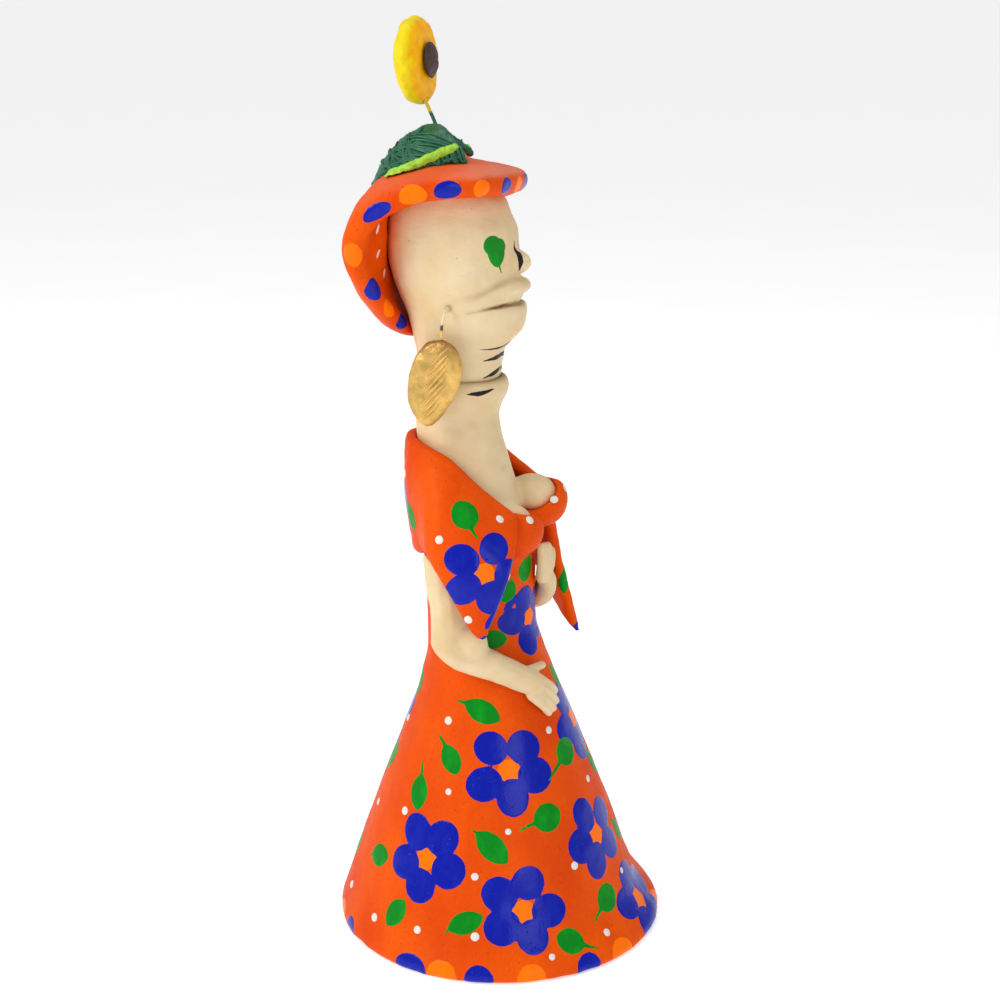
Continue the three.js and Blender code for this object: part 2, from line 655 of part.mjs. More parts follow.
// round runs from the edge on her right front over the back to the edge on her left front,
// down from the neckline (0) to the lower edge (1).
function shawlSheet(round, down) {
  const [neck, middle, hem] = shawlCurves.map((curve) => curve.getPoint(THREE.MathUtils.clamp(round, 0, 1)));
  const bend = new THREE.QuadraticBezierCurve3(
    neck,
    middle.multiplyScalar(2).addScaledVector(neck, -0.5).addScaledVector(hem, -0.5),
    hem,
  );
  return bend.getPoint(THREE.MathUtils.clamp(down, 0, 1));
}

function shawl(grow) {
  const half = (round, down) => {
    const toEnd = Math.min(round, 1 - round) * SHAWL_REACH.round;
    const toSide = Math.min(down, 1 - down) * SHAWL_REACH.down;
    return roundedRim(Math.min(toEnd, toSide), SHAWL_THICKNESS / 2);
  };
  return solid(slab(shawlSheet, half, rimSteps(24, 0.014), rimSteps(6, 0.06), grow));
}

// ---------------------------------------------------------------- arms
const RIGHT_ARM = {
  points: [
    vec(-17, 8.6, 100.5), vec(-18.2, 7.8, 91), vec(-17.9, 6.6, 82), vec(-18.2, 6.2, 74.5), vec(-18.3, 3.6, 71.2),
    vec(-17.2, -0.6, 70.9), vec(-15.5, -5.2, 69), vec(-13, -9.4, 66.2), vec(-11, -11.6, 64.6),
  ],
  radii: [4.3, 4.3, 4.3, 4.4, 4.3, 3.9, 3.5, 3.2, 3.1],
};
const RIGHT_FINGERS = [
  [vec(-11.2, -12.6, 66.2), vec(-8, -14.4, 63.6), vec(-5, -15.2, 60.8)],
  [vec(-11.6, -12.4, 64.6), vec(-8.6, -14.8, 62), vec(-5.8, -15.8, 58.6)],
  [vec(-12, -12.2, 63.2), vec(-9.6, -14.6, 60.4), vec(-7.2, -15.6, 57.2)],
  [vec(-12.4, -11.8, 62), vec(-10.8, -14, 59.4), vec(-8.8, -15, 56.6)],
];
const RIGHT_THUMB = [vec(-12, -10, 67.4), vec(-9, -11.8, 67.8), vec(-6.2, -12.4, 67.4)];
const LEFT_ARM = {
  points: [
    vec(17, 8.6, 100.5), vec(18.4, 5.8, 91), vec(18.4, 2.6, 83), vec(17.2, -0.8, 78), vec(14, -4.4, 77.6),
    vec(10.4, -7.4, 79.6), vec(7.2, -9.2, 82.4), vec(4.6, -10.1, 85.2),
  ],
  radii: [4.3, 4.3, 4.2, 4, 3.6, 3.1, 2.7, 2.5],
};
const LEFT_FINGERS = [0, 1, 2, 3].map((i) => {
  const shift = vec(-1.4 * i, 0.2 * i, 0.3 * i);
  return [vec(4.8, -10.6, 85.6), vec(3.4, -11.1, 90.2), vec(3, -10.9, 94)].map((p) => p.add(shift));
});
const LEFT_THUMB = [vec(5.6, -10.2, 86.6), vec(6.6, -10.8, 89.6), vec(6.2, -10.8, 92)];
const FINGER_RADII = [1.35, 1.2, 1.05];

function arm({ points, radii }, fingers, thumb) {
  const digits = [...fingers, thumb].map((digit) => solid(limb(digit, FINGER_RADII, 6, 3)));
  return join(solid(limb(points, radii, 12, 14)), ...digits);
}

// Paste worked into the inside of the bent right elbow.
function elbowFilling() {
  return solid(ellipsoid(vec(-17.6, 1.8, 75.2), vec(3.6, 4.6, 4.6), 14, 10));
}

function armWirePath({ points }, side) {
  const inBodice = [vec(side * 11.2, 8.6, 99.4), vec(side * 14, 8.6, 99.2)];
  return [...inBodice, ...points.slice(1, -1)];
}

function armWire(armShape, side, radius) {
  return solid(wire(armWirePath(armShape, side), radius, 6, 18));
}

// ---------------------------------------------------------------- spine wire
const SPINE = { bottom: 64, top: 148, y: 9.5 };

function spineWire(radius, top, bottom) {
  const rod = new THREE.CylinderGeometry(radius, radius, top - bottom, 12);
  return solid(rod.rotateX(Math.PI / 2).translate(0, SPINE.y, (top + bottom) / 2));
}

// ---------------------------------------------------------------- earrings
const EARRING_TOP = { y: EAR_HOLE.y + 0.8, z: EAR_HOLE.z - 6.7 };
const EARRING_TILT = THREE.MathUtils.degToRad(11);
const EARRING_X = EAR_HOLE.x + 1.6;

function earringWire(side) {
  const hang = side * EARRING_X;
  const points = [
    vec(side * (EAR_HOLE.x - 2.6), EAR_HOLE.y, EAR_HOLE.z), vec(side * (EAR_HOLE.x + 0.6), EAR_HOLE.y, EAR_HOLE.z),
    vec(hang, EAR_HOLE.y + 0.15, EAR_HOLE.z - 1), vec(hang, EAR_HOLE.y + 0.8, EAR_HOLE.z - 4),
    vec(hang, EARRING_TOP.y, EARRING_TOP.z + GAP),
  ];
  return solid(wire(points, EARRING_WIRE_RADIUS, 6, 9));
}

// The disc: an oval pebble with a bevelled rim, lying in the YZ plane. Its front is full at the
// top and narrow at the bottom.
function earringDisc(side) {
  const half = EARRING_THICKNESS / 2;
  const levels = [[-1, 0.72], [-0.72, 0.92], [-0.25, 1], [0.25, 1], [0.72, 0.92], [1, 0.72]];
  const rings = levels.map(([height, share]) => steps(0, 2 * Math.PI, 20).slice(0, -1).map((a) => vec(
    height * half,
    share * (EARRING_WIDTH / 2) * Math.cos(a) * (Math.cos(a) < 0 ? 0.93 + 0.32 * Math.sin(a) : 0.96),
    share * (EARRING_LENGTH / 2) * Math.sin(a),
  )));
  const disc = skin(rings);
  disc.translate(0, 0, -EARRING_LENGTH / 2).rotateX(EARRING_TILT);
  return solid(disc.translate(side * EARRING_X, EARRING_TOP.y, EARRING_TOP.z));
}

// ---------------------------------------------------------------- flower
const STEM_RISES = [[0, 0], [0.7, 2.8], [2, 6.2], [3.7, 9.8], [5.4, 13.6]]; // back and up from its foot
const STEM_POINTS = STEM_RISES.map(([back, up]) => STEM_FOOT.clone().add(vec(0, back, up)));
const STEM_TOP = STEM_POINTS.at(-1);
const FLOWER_CENTRE = STEM_TOP.clone().add(vec(0, 1.2, FLOWER_DIAMETER / 2 - STEM_GRIP));
const FLOWER_LEAN = THREE.MathUtils.degToRad(3);

// A flower part is turned about its own axis, which looks forward (-Y) and a little up.
function placeFlower(geometry) {
  const { x, y, z } = FLOWER_CENTRE;
  return geometry.rotateX(Math.PI / 2 - FLOWER_LEAN).translate(x, y, z);
}

function flowerLathe(profile) {
  const points = profile.map(([r, h]) => new THREE.Vector2(r, h));
  // A lathe turns about Y; its axis is laid along Z before it is placed.
  return solid(placeFlower(new THREE.LatheGeometry(points, 24).rotateX(Math.PI / 2)));
}

function flowerPetals() {
  const r = FLOWER_DIAMETER / 2;
  const h = FLOWER_THICKNESS;
  return flowerLathe([
    [0, -0.45 * h], [0.55 * r, -0.42 * h], [0.88 * r, -0.22 * h], [r, 0.08 * h], [0.93 * r, 0.32 * h],
    [0.7 * r, 0.48 * h], [0, 0.52 * h],
  ]);
}

function flowerCentre() {
  const r = FLOWER_CENTRE_DIAMETER / 2;
  const floor = 0.52 * FLOWER_THICKNESS + GAP;
  return flowerLathe([[0, floor], [0.95 * r, floor], [r, floor + 0.35], [0.7 * r, floor + 1], [0, floor + 1.4]]);
}

function flowerStem(radius) {
  return solid(wire(STEM_POINTS, radius, 8, 10));
}

// The hole in the crown reaches a little deeper than the stem's foot.
function stemHole() {
  const floor = STEM_FOOT.clone().add(vec(0, -0.2, -0.6));
  return solid(wire([floor, ...STEM_POINTS], STEM_RADIUS + STEM_CLEARANCE, 8, 12));
}

// ---------------------------------------------------------------- the assembly
const COLOURS = {
  dress: { color: 0xe2500f, roughness: 0.55 },
  bone: { color: 0xe8d7ae, roughness: 0.6 },
  feather: { color: 0x0f6b45, roughness: 0.5 },
  lime: { color: 0xa6d934, roughness: 0.5 },
  gold: { color: 0xc39a45, roughness: 0.4, metalness: 0.6 },
  petal: { color: 0xf3cf1e, roughness: 0.5 },
  seed: { color: 0x3b2418, roughness: 0.6 },
  steel: { color: 0x8f8f8f, roughness: 0.45, metalness: 0.9 },
  card: { color: 0x9a7a55, roughness: 0.9 },
};

// The upper body is lifted or lowered as a whole when the skirt's height changes.
const figure = new THREE.Group();
const upperBody = new THREE.Group();
figure.name = 'catrina_figure';
upperBody.position.z = WAIST_HEIGHT - DRAWN_WAIST;
figure.add(upperBody);

function addPiece(name, body, colour, group = upperBody) {
  const mesh = new THREE.Mesh(geometryOf(body), new THREE.MeshStandardMaterial(COLOURS[colour]));
  mesh.name = name;
  group.add(mesh);
}

const flip = (body) => body.mirror([1, 0, 0]);
const grownNeck = neckAndChest(GAP);
const grownShawl = shawl(GAP);
const grownHat = hatPlain(GAP);
const grownSkirt = skirtBody(GAP);
const grownBodice = bodiceBody(GAP);
const wireBore = ARM_WIRE_RADIUS + WIRE_CLEARANCE;
const rightBore = armWire(RIGHT_ARM, -1, wireBore);
const leftBore = armWire(LEFT_ARM, 1, wireBore);
const spineBore = spineWire(SPINE_WIRE_RADIUS + WIRE_CLEARANCE, SPINE.top + 1, SPINE.bottom - 30);
const trimmedShawl = cut(shawl(0), grownNeck);

addPiece('skirt_shell', skirtShell(), 'dress', figure);
addPiece('skirt_core', skirtCore(), 'card', figure);
const bodiceTools = [aboveNeckline(), grownNeck, grownShawl, spineBore, rightBore, leftBore];
addPiece('bodice', cut(bodiceBody(0), ...bodiceTools), 'dress');
addPiece('neck_and_chest', cut(neckAndChest(0), neckStub(GAP), spineBore), 'bone');
addPiece('spine_wire', spineWire(SPINE_WIRE_RADIUS, SPINE.top, SPINE.bottom), 'steel');
addPiece('shawl', trimmedShawl, 'dress');

const rightArm = join(arm(RIGHT_ARM, RIGHT_FINGERS, RIGHT_THUMB), elbowFilling());
const leftArm = arm(LEFT_ARM, LEFT_FINGERS, LEFT_THUMB);
addPiece('right_arm', cut(rightArm, grownSkirt, grownBodice, grownShawl, rightBore), 'bone');
addPiece('left_arm', cut(leftArm, grownSkirt, grownBodice, grownShawl, leftBore), 'bone');
addPiece('right_arm_wire', armWire(RIGHT_ARM, -1, ARM_WIRE_RADIUS), 'steel');
addPiece('left_arm_wire', armWire(LEFT_ARM, 1, ARM_WIRE_RADIUS), 'steel');

addPiece('skull', cut(skullHead(0), grownHat, mouthSlit(), earHole(-1), earHole(1), spineBore), 'bone');
addPiece('hat', join(hatPlain(0), cut(hatPadded(), skullHead(GAP))), 'dress');

const grownFeathers = [feather(1, GAP), flip(feather(LEFT_FEATHER_SHARE, GAP))];
addPiece('hat_crown', cut(hatCrown(), ...grownFeathers, stemHole()), 'dress');
[['right', 1, (body) => body], ['left', LEFT_FEATHER_SHARE, flip]].forEach(([name, length, place]) => {
  addPiece(`${name}_feather`, place(cut(feather(length, 0), grownHat)), 'feather');
  addPiece(`${name}_feather_rib`, place(cut(featherRib(length), feather(length, GAP), grownHat)), 'lime');
});

addPiece('flower_petals', cut(flowerPetals(), flowerStem(STEM_RADIUS + GAP)), 'petal');
addPiece('flower_centre', flowerCentre(), 'seed');
addPiece('flower_stem', flowerStem(STEM_RADIUS), 'steel');

[['right', -1], ['left', 1]].forEach(([name, side]) => {
  addPiece(`${name}_earring_wire`, earringWire(side), 'steel');
  addPiece(`${name}_earring_disc`, earringDisc(side), 'gold');
});

export default figure;
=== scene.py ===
"""The catrina figure as she is finished: smoothed paste, brushed paint, twisted barbs and gold."""

import math
from types import SimpleNamespace

import bmesh
import bpy
import numpy as np
from bpy.props import FloatProperty, FloatVectorProperty, IntProperty, PointerProperty
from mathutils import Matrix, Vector, noise
from mathutils.bvhtree import BVHTree


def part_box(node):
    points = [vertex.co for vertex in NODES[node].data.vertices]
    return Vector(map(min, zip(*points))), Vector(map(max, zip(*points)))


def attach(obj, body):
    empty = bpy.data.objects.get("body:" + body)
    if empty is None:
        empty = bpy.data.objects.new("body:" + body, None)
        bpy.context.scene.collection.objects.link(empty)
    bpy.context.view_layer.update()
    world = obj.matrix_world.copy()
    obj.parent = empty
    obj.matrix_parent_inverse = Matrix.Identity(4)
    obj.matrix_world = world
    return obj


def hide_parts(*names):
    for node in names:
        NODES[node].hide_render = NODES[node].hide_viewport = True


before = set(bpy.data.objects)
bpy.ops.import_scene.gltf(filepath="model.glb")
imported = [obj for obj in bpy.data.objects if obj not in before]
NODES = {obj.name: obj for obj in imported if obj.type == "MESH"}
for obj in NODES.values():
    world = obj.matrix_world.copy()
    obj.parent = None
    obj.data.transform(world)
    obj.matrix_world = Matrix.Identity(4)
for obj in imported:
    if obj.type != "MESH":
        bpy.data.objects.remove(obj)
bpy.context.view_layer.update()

bl_info = {
    "name": "Catrina Figure",
    "version": (1, 0, 0),
    "blender": (4, 5, 0),
    "location": "View3D > Sidebar > Catrina",
    "description": "Finishes a painted catrina figure around its frame",
    "category": "Add Mesh",
}

MM = 0.001
UNPAINTED = 9.0  # a distance, in mm, that is far from any mark
SEED = 11


def linear(red, green, blue):
    """A display colour of 0 to 255 as the linear values that shaders take."""
    shares = [c / 255 for c in (red, green, blue)]
    return tuple(c / 12.92 if c <= 0.04045 else ((c + 0.055) / 1.055) ** 2.4 for c in shares)


# ------------------------------------------------------------------ sizes and colours


def colour(label, note, red, green, blue):
    """A colour setting, given as a display colour of 0 to 255."""
    return FloatVectorProperty(
        name=label, description=note, subtype="COLOR", min=0, max=1, default=linear(red, green, blue)
    )


def length(label, note, millimetres):
    """A length setting."""
    return FloatProperty(name=label, description=note, default=millimetres * MM, min=0, unit="LENGTH")


class CatrinaColours(bpy.types.PropertyGroup):
    dress: colour("Dress", "Ground colour of dress, shawl and hat", 232, 86, 0)
    dress_deep: colour("Dress, deep", "Where the ground colour was brushed twice", 216, 68, 0)
    petal: colour("Petal", "Blue of the painted flowers", 0, 20, 156)
    petal_pale: colour("Petal, thin", "Where the blue is thin", 12, 34, 166)
    amber: colour("Amber", "Flower middles and border spots", 255, 114, 0)
    leaf: colour("Leaf", "Painted leaves", 8, 128, 26)
    white: colour("White", "Dots and strokes", 224, 222, 216)
    black: colour("Black", "Lines on the bones", 24, 22, 28)
    bone: colour("Bone", "Cream of the bones", 224, 204, 164)
    bone_deep: colour("Bone, deep", "Cream where it lies thick or dirty", 216, 188, 140)
    vane: colour("Vane", "Dark green of the feathers", 12, 100, 66)
    rib: colour("Rib", "Lime of the feather ribs", 165, 218, 45)
    gold: colour("Gold", "Earring paint", 220, 178, 96)
    yellow: colour("Yellow", "Rim and back of the wired flower", 234, 208, 22)
    seed: colour("Seed", "Middle of the wired flower", 66, 34, 22)


class CatrinaSizes(bpy.types.PropertyGroup):
    petal_radius: length("Petal radius", "Radius of one painted petal", 4.1)
    petal_ring: length("Petal ring", "From a flower's middle to a petal's middle", 6.4)
    middle_radius: length("Middle radius", "Radius of a flower's amber middle", 2.7)
    dot_radius: length("Dot radius", "Radius of a white dot", 1.0)
    dot_rise: length("Dot rise", "Height of a white dot", 0.22)
    barb_radius: length("Barb radius", "Radius of one feather barb", 0.46)
    barbs: IntProperty(name="Barbs", description="Barbs on each side of a rib", default=27, min=4, max=80)
    ridge_radius: length("Ridge radius", "Radius of a ridge on an earring", 0.38)


def colours():
    """The scene's colour settings as plain linear values."""
    group = bpy.context.scene.catrina_colours
    return SimpleNamespace(**{key: tuple(getattr(group, key)) for key in CatrinaColours.__annotations__})


def sizes():
    """The scene's size settings, in metres."""
    return bpy.context.scene.catrina_sizes


# ------------------------------------------------------------------ paste: meshes from the frame


def add_object(name, mesh):
    """A new object in the scene."""
    made = bpy.data.objects.new(name, mesh)
    bpy.context.scene.collection.objects.link(made)
    return made


def read(mesh, what="vertices", value="co", width=3):
    """A value of every item of a mesh, one row for each."""
    items = getattr(mesh, what)
    flat = np.empty(len(items) * width, np.float32 if width == 3 else np.int32)
    items.foreach_get(value, flat)
    return flat.reshape(-1, width)


def points_of(mesh):
    """A mesh's points, in mm."""
    return read(mesh).astype(float) / MM


def set_points(mesh, points):
    """Moves a mesh's points to places in mm."""
    mesh.vertices.foreach_set("co", (points * MM).astype(np.float32).ravel())
    mesh.update()


def normals_of(mesh):
    """A mesh's normals at its points."""
    mesh.update()
    return read(mesh, "vertex_normals", "vector").astype(float)


def relax(values, edges, rounds, hold=1.0):
    """Moves each point's values towards its neighbours' mean, `rounds` times."""
    a, b = edges.T
    total = len(values)
    near = np.bincount(edges.ravel(), minlength=total)[:, None]
    for _ in range(rounds):
        columns = [
            np.bincount(a, weights=column[b], minlength=total)
            + np.bincount(b, weights=column[a], minlength=total)
            for column in values.T
        ]
        values = values + 0.5 * hold * (np.stack(columns, 1) / near - values)
    return values


def settle(mesh, rounds, firm=0.02):
    """Smooths flat facets away and leaves tight edges: an edge is where the normals turn quickly.

    The second pass gives back the bulk that plain smoothing takes from round forms."""
    edges = read(mesh, "edges", "vertices", 2)
    points = points_of(mesh)
    normals = normals_of(mesh)
    mean = relax(normals, edges, 6)
    mean /= np.linalg.norm(mean, axis=1)[:, None]
    turn = 1 - (normals * mean).sum(1)
    hold = relax(np.exp(-((turn / firm) ** 2))[:, None], edges, 3)
    smooth = relax(points, edges, rounds, hold)
    rest = relax(points - smooth, edges, rounds, hold)
    set_points(mesh, relax(smooth + rest, edges, 2))


def joined_mesh(name, node_names, extra=None):
    """Merged copies of CAD nodes in one mesh, with any extra solid that `extra` adds."""
    bm = bmesh.new()
    for node in node_names:
        bm.from_mesh(NODES[node].data)
    bmesh.ops.remove_doubles(bm, verts=bm.verts, dist=0.002 * MM)
    if extra:
        extra(bm)
    mesh = bpy.data.meshes.new(name)
    bm.to_mesh(mesh)
    bm.free()
    mesh.materials.clear()
    return mesh


def baked(obj, name):
    """The object as its modifiers leave it, as a new plain object."""
    bpy.context.view_layer.update()
    depsgraph = bpy.context.evaluated_depsgraph_get()
    mesh = bpy.data.meshes.new_from_object(obj.evaluated_get(depsgraph))
    old = obj.data
    bpy.data.objects.remove(obj)
    if old.users == 0:
        bpy.data.meshes.remove(old)
    mesh.name = name
    return add_object(name, mesh)


def modelled(name, node_names, grain, rounds, extra=None, firm=0.02):
    """One smooth paste form over CAD nodes; `grain` is the mesh's spacing in mm."""
    rough = add_object(name + "_rough", joined_mesh(name + "_rough", node_names, extra))
    remesh = rough.modifiers.new("Remesh", "REMESH")
    remesh.mode = "VOXEL"
    remesh.voxel_size = grain * MM
    piece = baked(rough, name)
    settle(piece.data, rounds, firm)
    piece.data.shade_smooth()
    return piece


def knead(mesh, height, span, seed, octaves=3):
    """Pushes the surface in and out by hand-sized lumps: `height` and `span` in mm."""
    points = points_of(mesh)
    normals = normals_of(mesh)
    shift = Vector((seed * 3.7, seed * 1.3, seed * 2.1))
    lumps = [noise.fractal(Vector(p) / span + shift, 1.0, 2.0, octaves) for p in points]
    set_points(mesh, points + normals * (height * np.array(lumps))[:, None])


def soften(mesh, place, reach, rounds):
    """Works a joint smooth: paste within about `reach` mm of a place gives way."""
    points = points_of(mesh)
    hold = np.exp(-((np.linalg.norm(points - place, axis=1) / reach) ** 2))[:, None]
    set_points(mesh, relax(points, read(mesh, "edges", "vertices", 2), rounds, hold))


def to_path(points, path):
    """Distance from each point to a run of points, and how far along the run, from 0 to 1."""
    path = np.asarray(path, float)
    best = np.full(len(points), np.inf)
    along = np.zeros(len(points))
    for i in range(len(path) - 1):
        step = path[i + 1] - path[i]
        t = np.clip((points - path[i]) @ step / (step @ step), 0, 1)
        away = np.linalg.norm(points - path[i] - t[:, None] * step, axis=1)
        closer = away < best
        best[closer] = away[closer]
        along[closer] = ((i + t) / (len(path) - 1))[closer]
    return best, along


def laid(tree, path, count=24):
    """A path evenly filled in with `count` places and laid onto the surface."""
    knots = np.linspace(0, 1, len(path))
    steps = np.linspace(0, 1, count)
    places = np.stack([np.interp(steps, knots, column) for column in np.asarray(path, float).T], 1)
    return [tuple(tree.find_nearest(Vector(p))[0]) for p in places]


def press(mesh, path, width, depth):
    """Presses a groove along a path; a negative depth raises a ridge. Returns its share by point."""
    points = points_of(mesh)
    away, along = to_path(points, laid(tree_of(mesh), path))
    share = np.exp(-((away / width) ** 2)) * np.sin(np.pi * np.clip(along, 0.08, 0.92))
    set_points(mesh, points - normals_of(mesh) * (depth * share)[:, None])
    return share


def write_layer(mesh, name, values):
    """Stores one number for each point, for a finish or a node tree to read."""
    layer = mesh.attributes.new(name, "FLOAT", "POINT")
    layer.data.foreach_set("value", np.asarray(values, np.float32))


def tree_of(mesh):
    """A mesh's surface in mm, for finding the nearest place on it."""
    points = [tuple(p) for p in points_of(mesh)]
    return BVHTree.FromPolygons(points, [tuple(f.vertices) for f in mesh.polygons])


def distance_to(mesh, tree):
    """How far each point is from a surface, in mm."""
    return np.array([tree.find_nearest(Vector(p))[3] for p in points_of(mesh)])


def hand_over(piece, body, slot, *nodes):
    """The last step for a finished piece: its body and the CAD nodes it stands for; `slot`, its finish, is
    not used.
    """
    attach(piece, body)
    if nodes:
        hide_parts(*nodes)
    return piece


# ------------------------------------------------------------------ brush: marks on a surface


class Canvas:
    """Signed distances in mm from a piece's points to the marks painted on it, below 0 inside."""

    def __init__(self, piece, *layers):
        self.mesh = piece.data
        self.points = points_of(self.mesh)
        self.normals = normals_of(self.mesh)
        self.tree = tree_of(self.mesh)
        self.layers = {name: np.full(len(self.points), UNPAINTED) for name in layers}
        self.random = np.random.default_rng(SEED)
        self.dots = []

    def touch(self, where):
        """The surface point and normal nearest to a place."""
        spot, normal, _, _ = self.tree.find_nearest(Vector(where))
        return spot, normal

    def sheet(self, where, lean=0.0):
        """Flat coordinates about a surface point: `lean` degrees turns the first one from the
        right-hand side, as seen from outside, towards up."""
        spot, normal = self.touch(where)
        up = (Vector((0, 0, 1)) - normal * normal.z).normalized()
        right = up.cross(normal)
        turn = math.radians(lean)
        first = right * math.cos(turn) + up * math.sin(turn)
        second = normal.cross(first)
        away = self.points - np.array(spot)
        far = (np.abs(away @ np.array(normal)) > 9) | (self.normals @ np.array(normal) < 0.2)
        return away @ np.array(first), away @ np.array(second), far

    def add(self, layer, distance, far=None):
        if far is not None:
            distance = np.where(far, UNPAINTED, distance)
        self.layers[layer] = np.minimum(self.layers[layer], distance)

    def blob(self, layer, where, half_length, half_width, lean=0.0):
        u, v, far = self.sheet(where, lean)
        share = np.hypot(u / half_length, v / half_width)
        self.add(layer, (share - 1) * min(half_length, half_width), far)

    def stroke(self, layer, path, widths):
        """A brush line of changing half width along places near the surface."""
        away, along = to_path(self.points, laid(self.tree, path))
        self.add(layer, away - np.interp(along, np.linspace(0, 1, len(widths)), widths))

    def flower(self, where, turn, size=1.0):
        """Five round petals about an amber middle."""
        ring = size * sizes().petal_ring / MM
        radius = size * sizes().petal_radius / MM
        self.blob("amber", where, size * sizes().middle_radius / MM, size * sizes().middle_radius / MM)
        u, v, far = self.sheet(where)
        for k in range(5):
            angle = math.radians(turn + 72 * k + self.random.uniform(-5, 5))
            reach = ring * self.random.uniform(0.95, 1.06)
            wide = radius * self.random.uniform(0.92, 1.07)
            long = radius * self.random.uniform(0.97, 1.12)
            along = u * math.cos(angle) + v * math.sin(angle) - reach
            across = v * math.cos(angle) - u * math.sin(angle)
            self.add("blue", (np.hypot(along / long, across / wide) - 1) * radius, far)

    def leaf(self, where, lean, long, wide, stem):
        """A pointed leaf whose stem points at `lean` degrees."""
        u, v, far = self.sheet(where, lean)
        half, side = long / 2, wide / 2
        arc = (half**2 + side**2) / (2 * side)
        inset = arc - side
        across, along = np.abs(v), np.abs(u)
        at_tip = (along - half) * inset > across * half
        tip = np.hypot(across, along - half)
        flank = np.hypot(across + inset, along) - arc
        self.add("green", np.where(at_tip, tip, flank), far)
        if stem:
            t = np.clip((u - 0.6 * half) / (0.4 * half + stem), 0, 1)
            thin = np.hypot(u - 0.6 * half - t * (0.4 * half + stem), v - 0.5 * t**2)
            self.add("green", thin - (0.62 - 0.36 * t), far)

    def dot(self, where, size=1.0):
        spot, normal = self.touch(where)
        self.dots.append((spot, normal, size))

    def save(self, rise=0.07):
        """Lifts the painted parts by the paint's thickness and writes the layers."""
        nearest = np.min([self.layers[name] for name in self.layers], axis=0)
        lift = rise * np.clip(0.5 - nearest / 0.5, 0, 1)
        set_points(self.mesh, self.points + self.normals * lift[:, None])
        for name, values in self.layers.items():
            write_layer(self.mesh, name, np.clip(values, -UNPAINTED, UNPAINTED))


# ------------------------------------------------------------------ finishes


def add_node(tree, kind, inputs=None, **settings):
    """A new node; each of its inputs takes a value, or a link from another node's output."""
    node = tree.nodes.new(kind)
    for key, value in settings.items():
        setattr(node, key, value)
    for key, value in (inputs or {}).items():
        if isinstance(value, bpy.types.NodeSocket):
            tree.links.new(value, node.inputs[key])
        else:
            node.inputs[key].default_value = value
    return node


class Recipe:
    """Adds shader nodes to one material. Lengths are given in mm."""

    def __init__(self, name):
        self.material = bpy.data.materials.new(name)
        self.material.use_nodes = True
        self.tree = self.material.node_tree
        self.tree.nodes.clear()
        self.place = self.add("ShaderNodeTexCoord").outputs["Object"]

    def add(self, kind, inputs=None, **settings):
        return add_node(self.tree, kind, inputs, **settings)

    def stretched(self, stretch):
        """Object coordinates stretched along the axes, for brush streaks."""
        return self.add("ShaderNodeMapping", {"Vector": self.place, "Scale": stretch}).outputs[0]

    def grain(self, span, detail=3.0, stretch=None):
        """Noise whose lumps are about `span` mm across."""
        place = self.stretched(stretch) if stretch else self.place
        inputs = {"Vector": place, "Scale": 1 / (span * MM), "Detail": detail}
        return self.add("ShaderNodeTexNoise", inputs).outputs["Fac"]

    def pits(self, span):
        """Distance to the nearest of scattered pits, 0 at a pit."""
        inputs = {"Vector": self.place, "Scale": 1 / (span * MM)}
        return self.add("ShaderNodeTexVoronoi", inputs).outputs["Distance"]

    def layer(self, name):
        return self.add("ShaderNodeAttribute", attribute_name=name).outputs["Fac"]

    def spread(self, value, low, high, to_low=0.0, to_high=1.0):
        inputs = {0: value, 1: low, 2: high, 3: to_low, 4: to_high}
        return self.add("ShaderNodeMapRange", inputs).outputs[0]

    def maths(self, operation, a, b):
        return self.add("ShaderNodeMath", {0: a, 1: b}, operation=operation).outputs[0]

    def mix(self, share, a, b):
        a, b = [(*c, 1.0) if isinstance(c, tuple) else c for c in (a, b)]
        return self.add("ShaderNodeMix", {0: share, 6: a, 7: b}, data_type="RGBA").outputs[2]

    def number(self, share, a, b):
        return self.add("ShaderNodeMix", {0: share, 2: a, 3: b}).outputs[0]

    def finish(self, base, roughness, height, **uniform):
        """Closes the recipe: `height` is the relief in mm, `uniform` holds fixed shader inputs."""
        bump = self.add("ShaderNodeBump", {"Height": height, "Distance": MM, "Strength": 1.0})
        inputs = {"Base Color": base, "Roughness": roughness, "Normal": bump.outputs[0]}
        inputs.update({key.replace("_", " "): value for key, value in uniform.items()})
        shader = self.add("ShaderNodeBsdfPrincipled", inputs)
        self.add("ShaderNodeOutputMaterial", {"Surface": shader.outputs[0]})
        return self.material


WHITE_DOTS = []  # (place in mm, normal, size) of every white dot, gathered piece by piece


def scaled(tone, share):
    """A lighter or darker tone of a colour."""
    return tuple(min(1.0, value * share) for value in tone)


def brush_layer(recipe, base, rough, height, name, paint, thin, gloss):
    """One coat over what is there: streaky colour inside a slightly unsteady outline."""
    wobble = recipe.spread(recipe.grain(1.3), 0.0, 1.0, -0.16, 0.16)
    away = recipe.maths("ADD", recipe.layer(name), wobble)
    mask = recipe.spread(away, 0.035, -0.035)
    streaks = recipe.spread(recipe.grain(2.6, 4.0, (1.0, 1.0, 0.45)), 0.46, 0.72, 0.0, 0.8)
    base = recipe.mix(mask, base, recipe.mix(streaks, paint, thin))
    rough = recipe.number(mask, rough, gloss)
    edge = recipe.spread(away, 0.25, -0.25, 0.0, 0.05)
    return base, rough, recipe.maths("ADD", height, edge)


def coats():
    """The brush colours: layer name to (colour, thin colour, roughness)."""
    c = colours()
    return {
        "amber": (c.amber, scaled(c.amber, 1.15), 0.32),
        "blue": (c.petal, c.petal_pale, 0.2),
        "green": (c.leaf, scaled(c.leaf, 1.5), 0.36),
        "white": (c.white, scaled(c.white, 0.93), 0.4),
        "black": (c.black, scaled(c.black, 1.6), 0.45),
    }


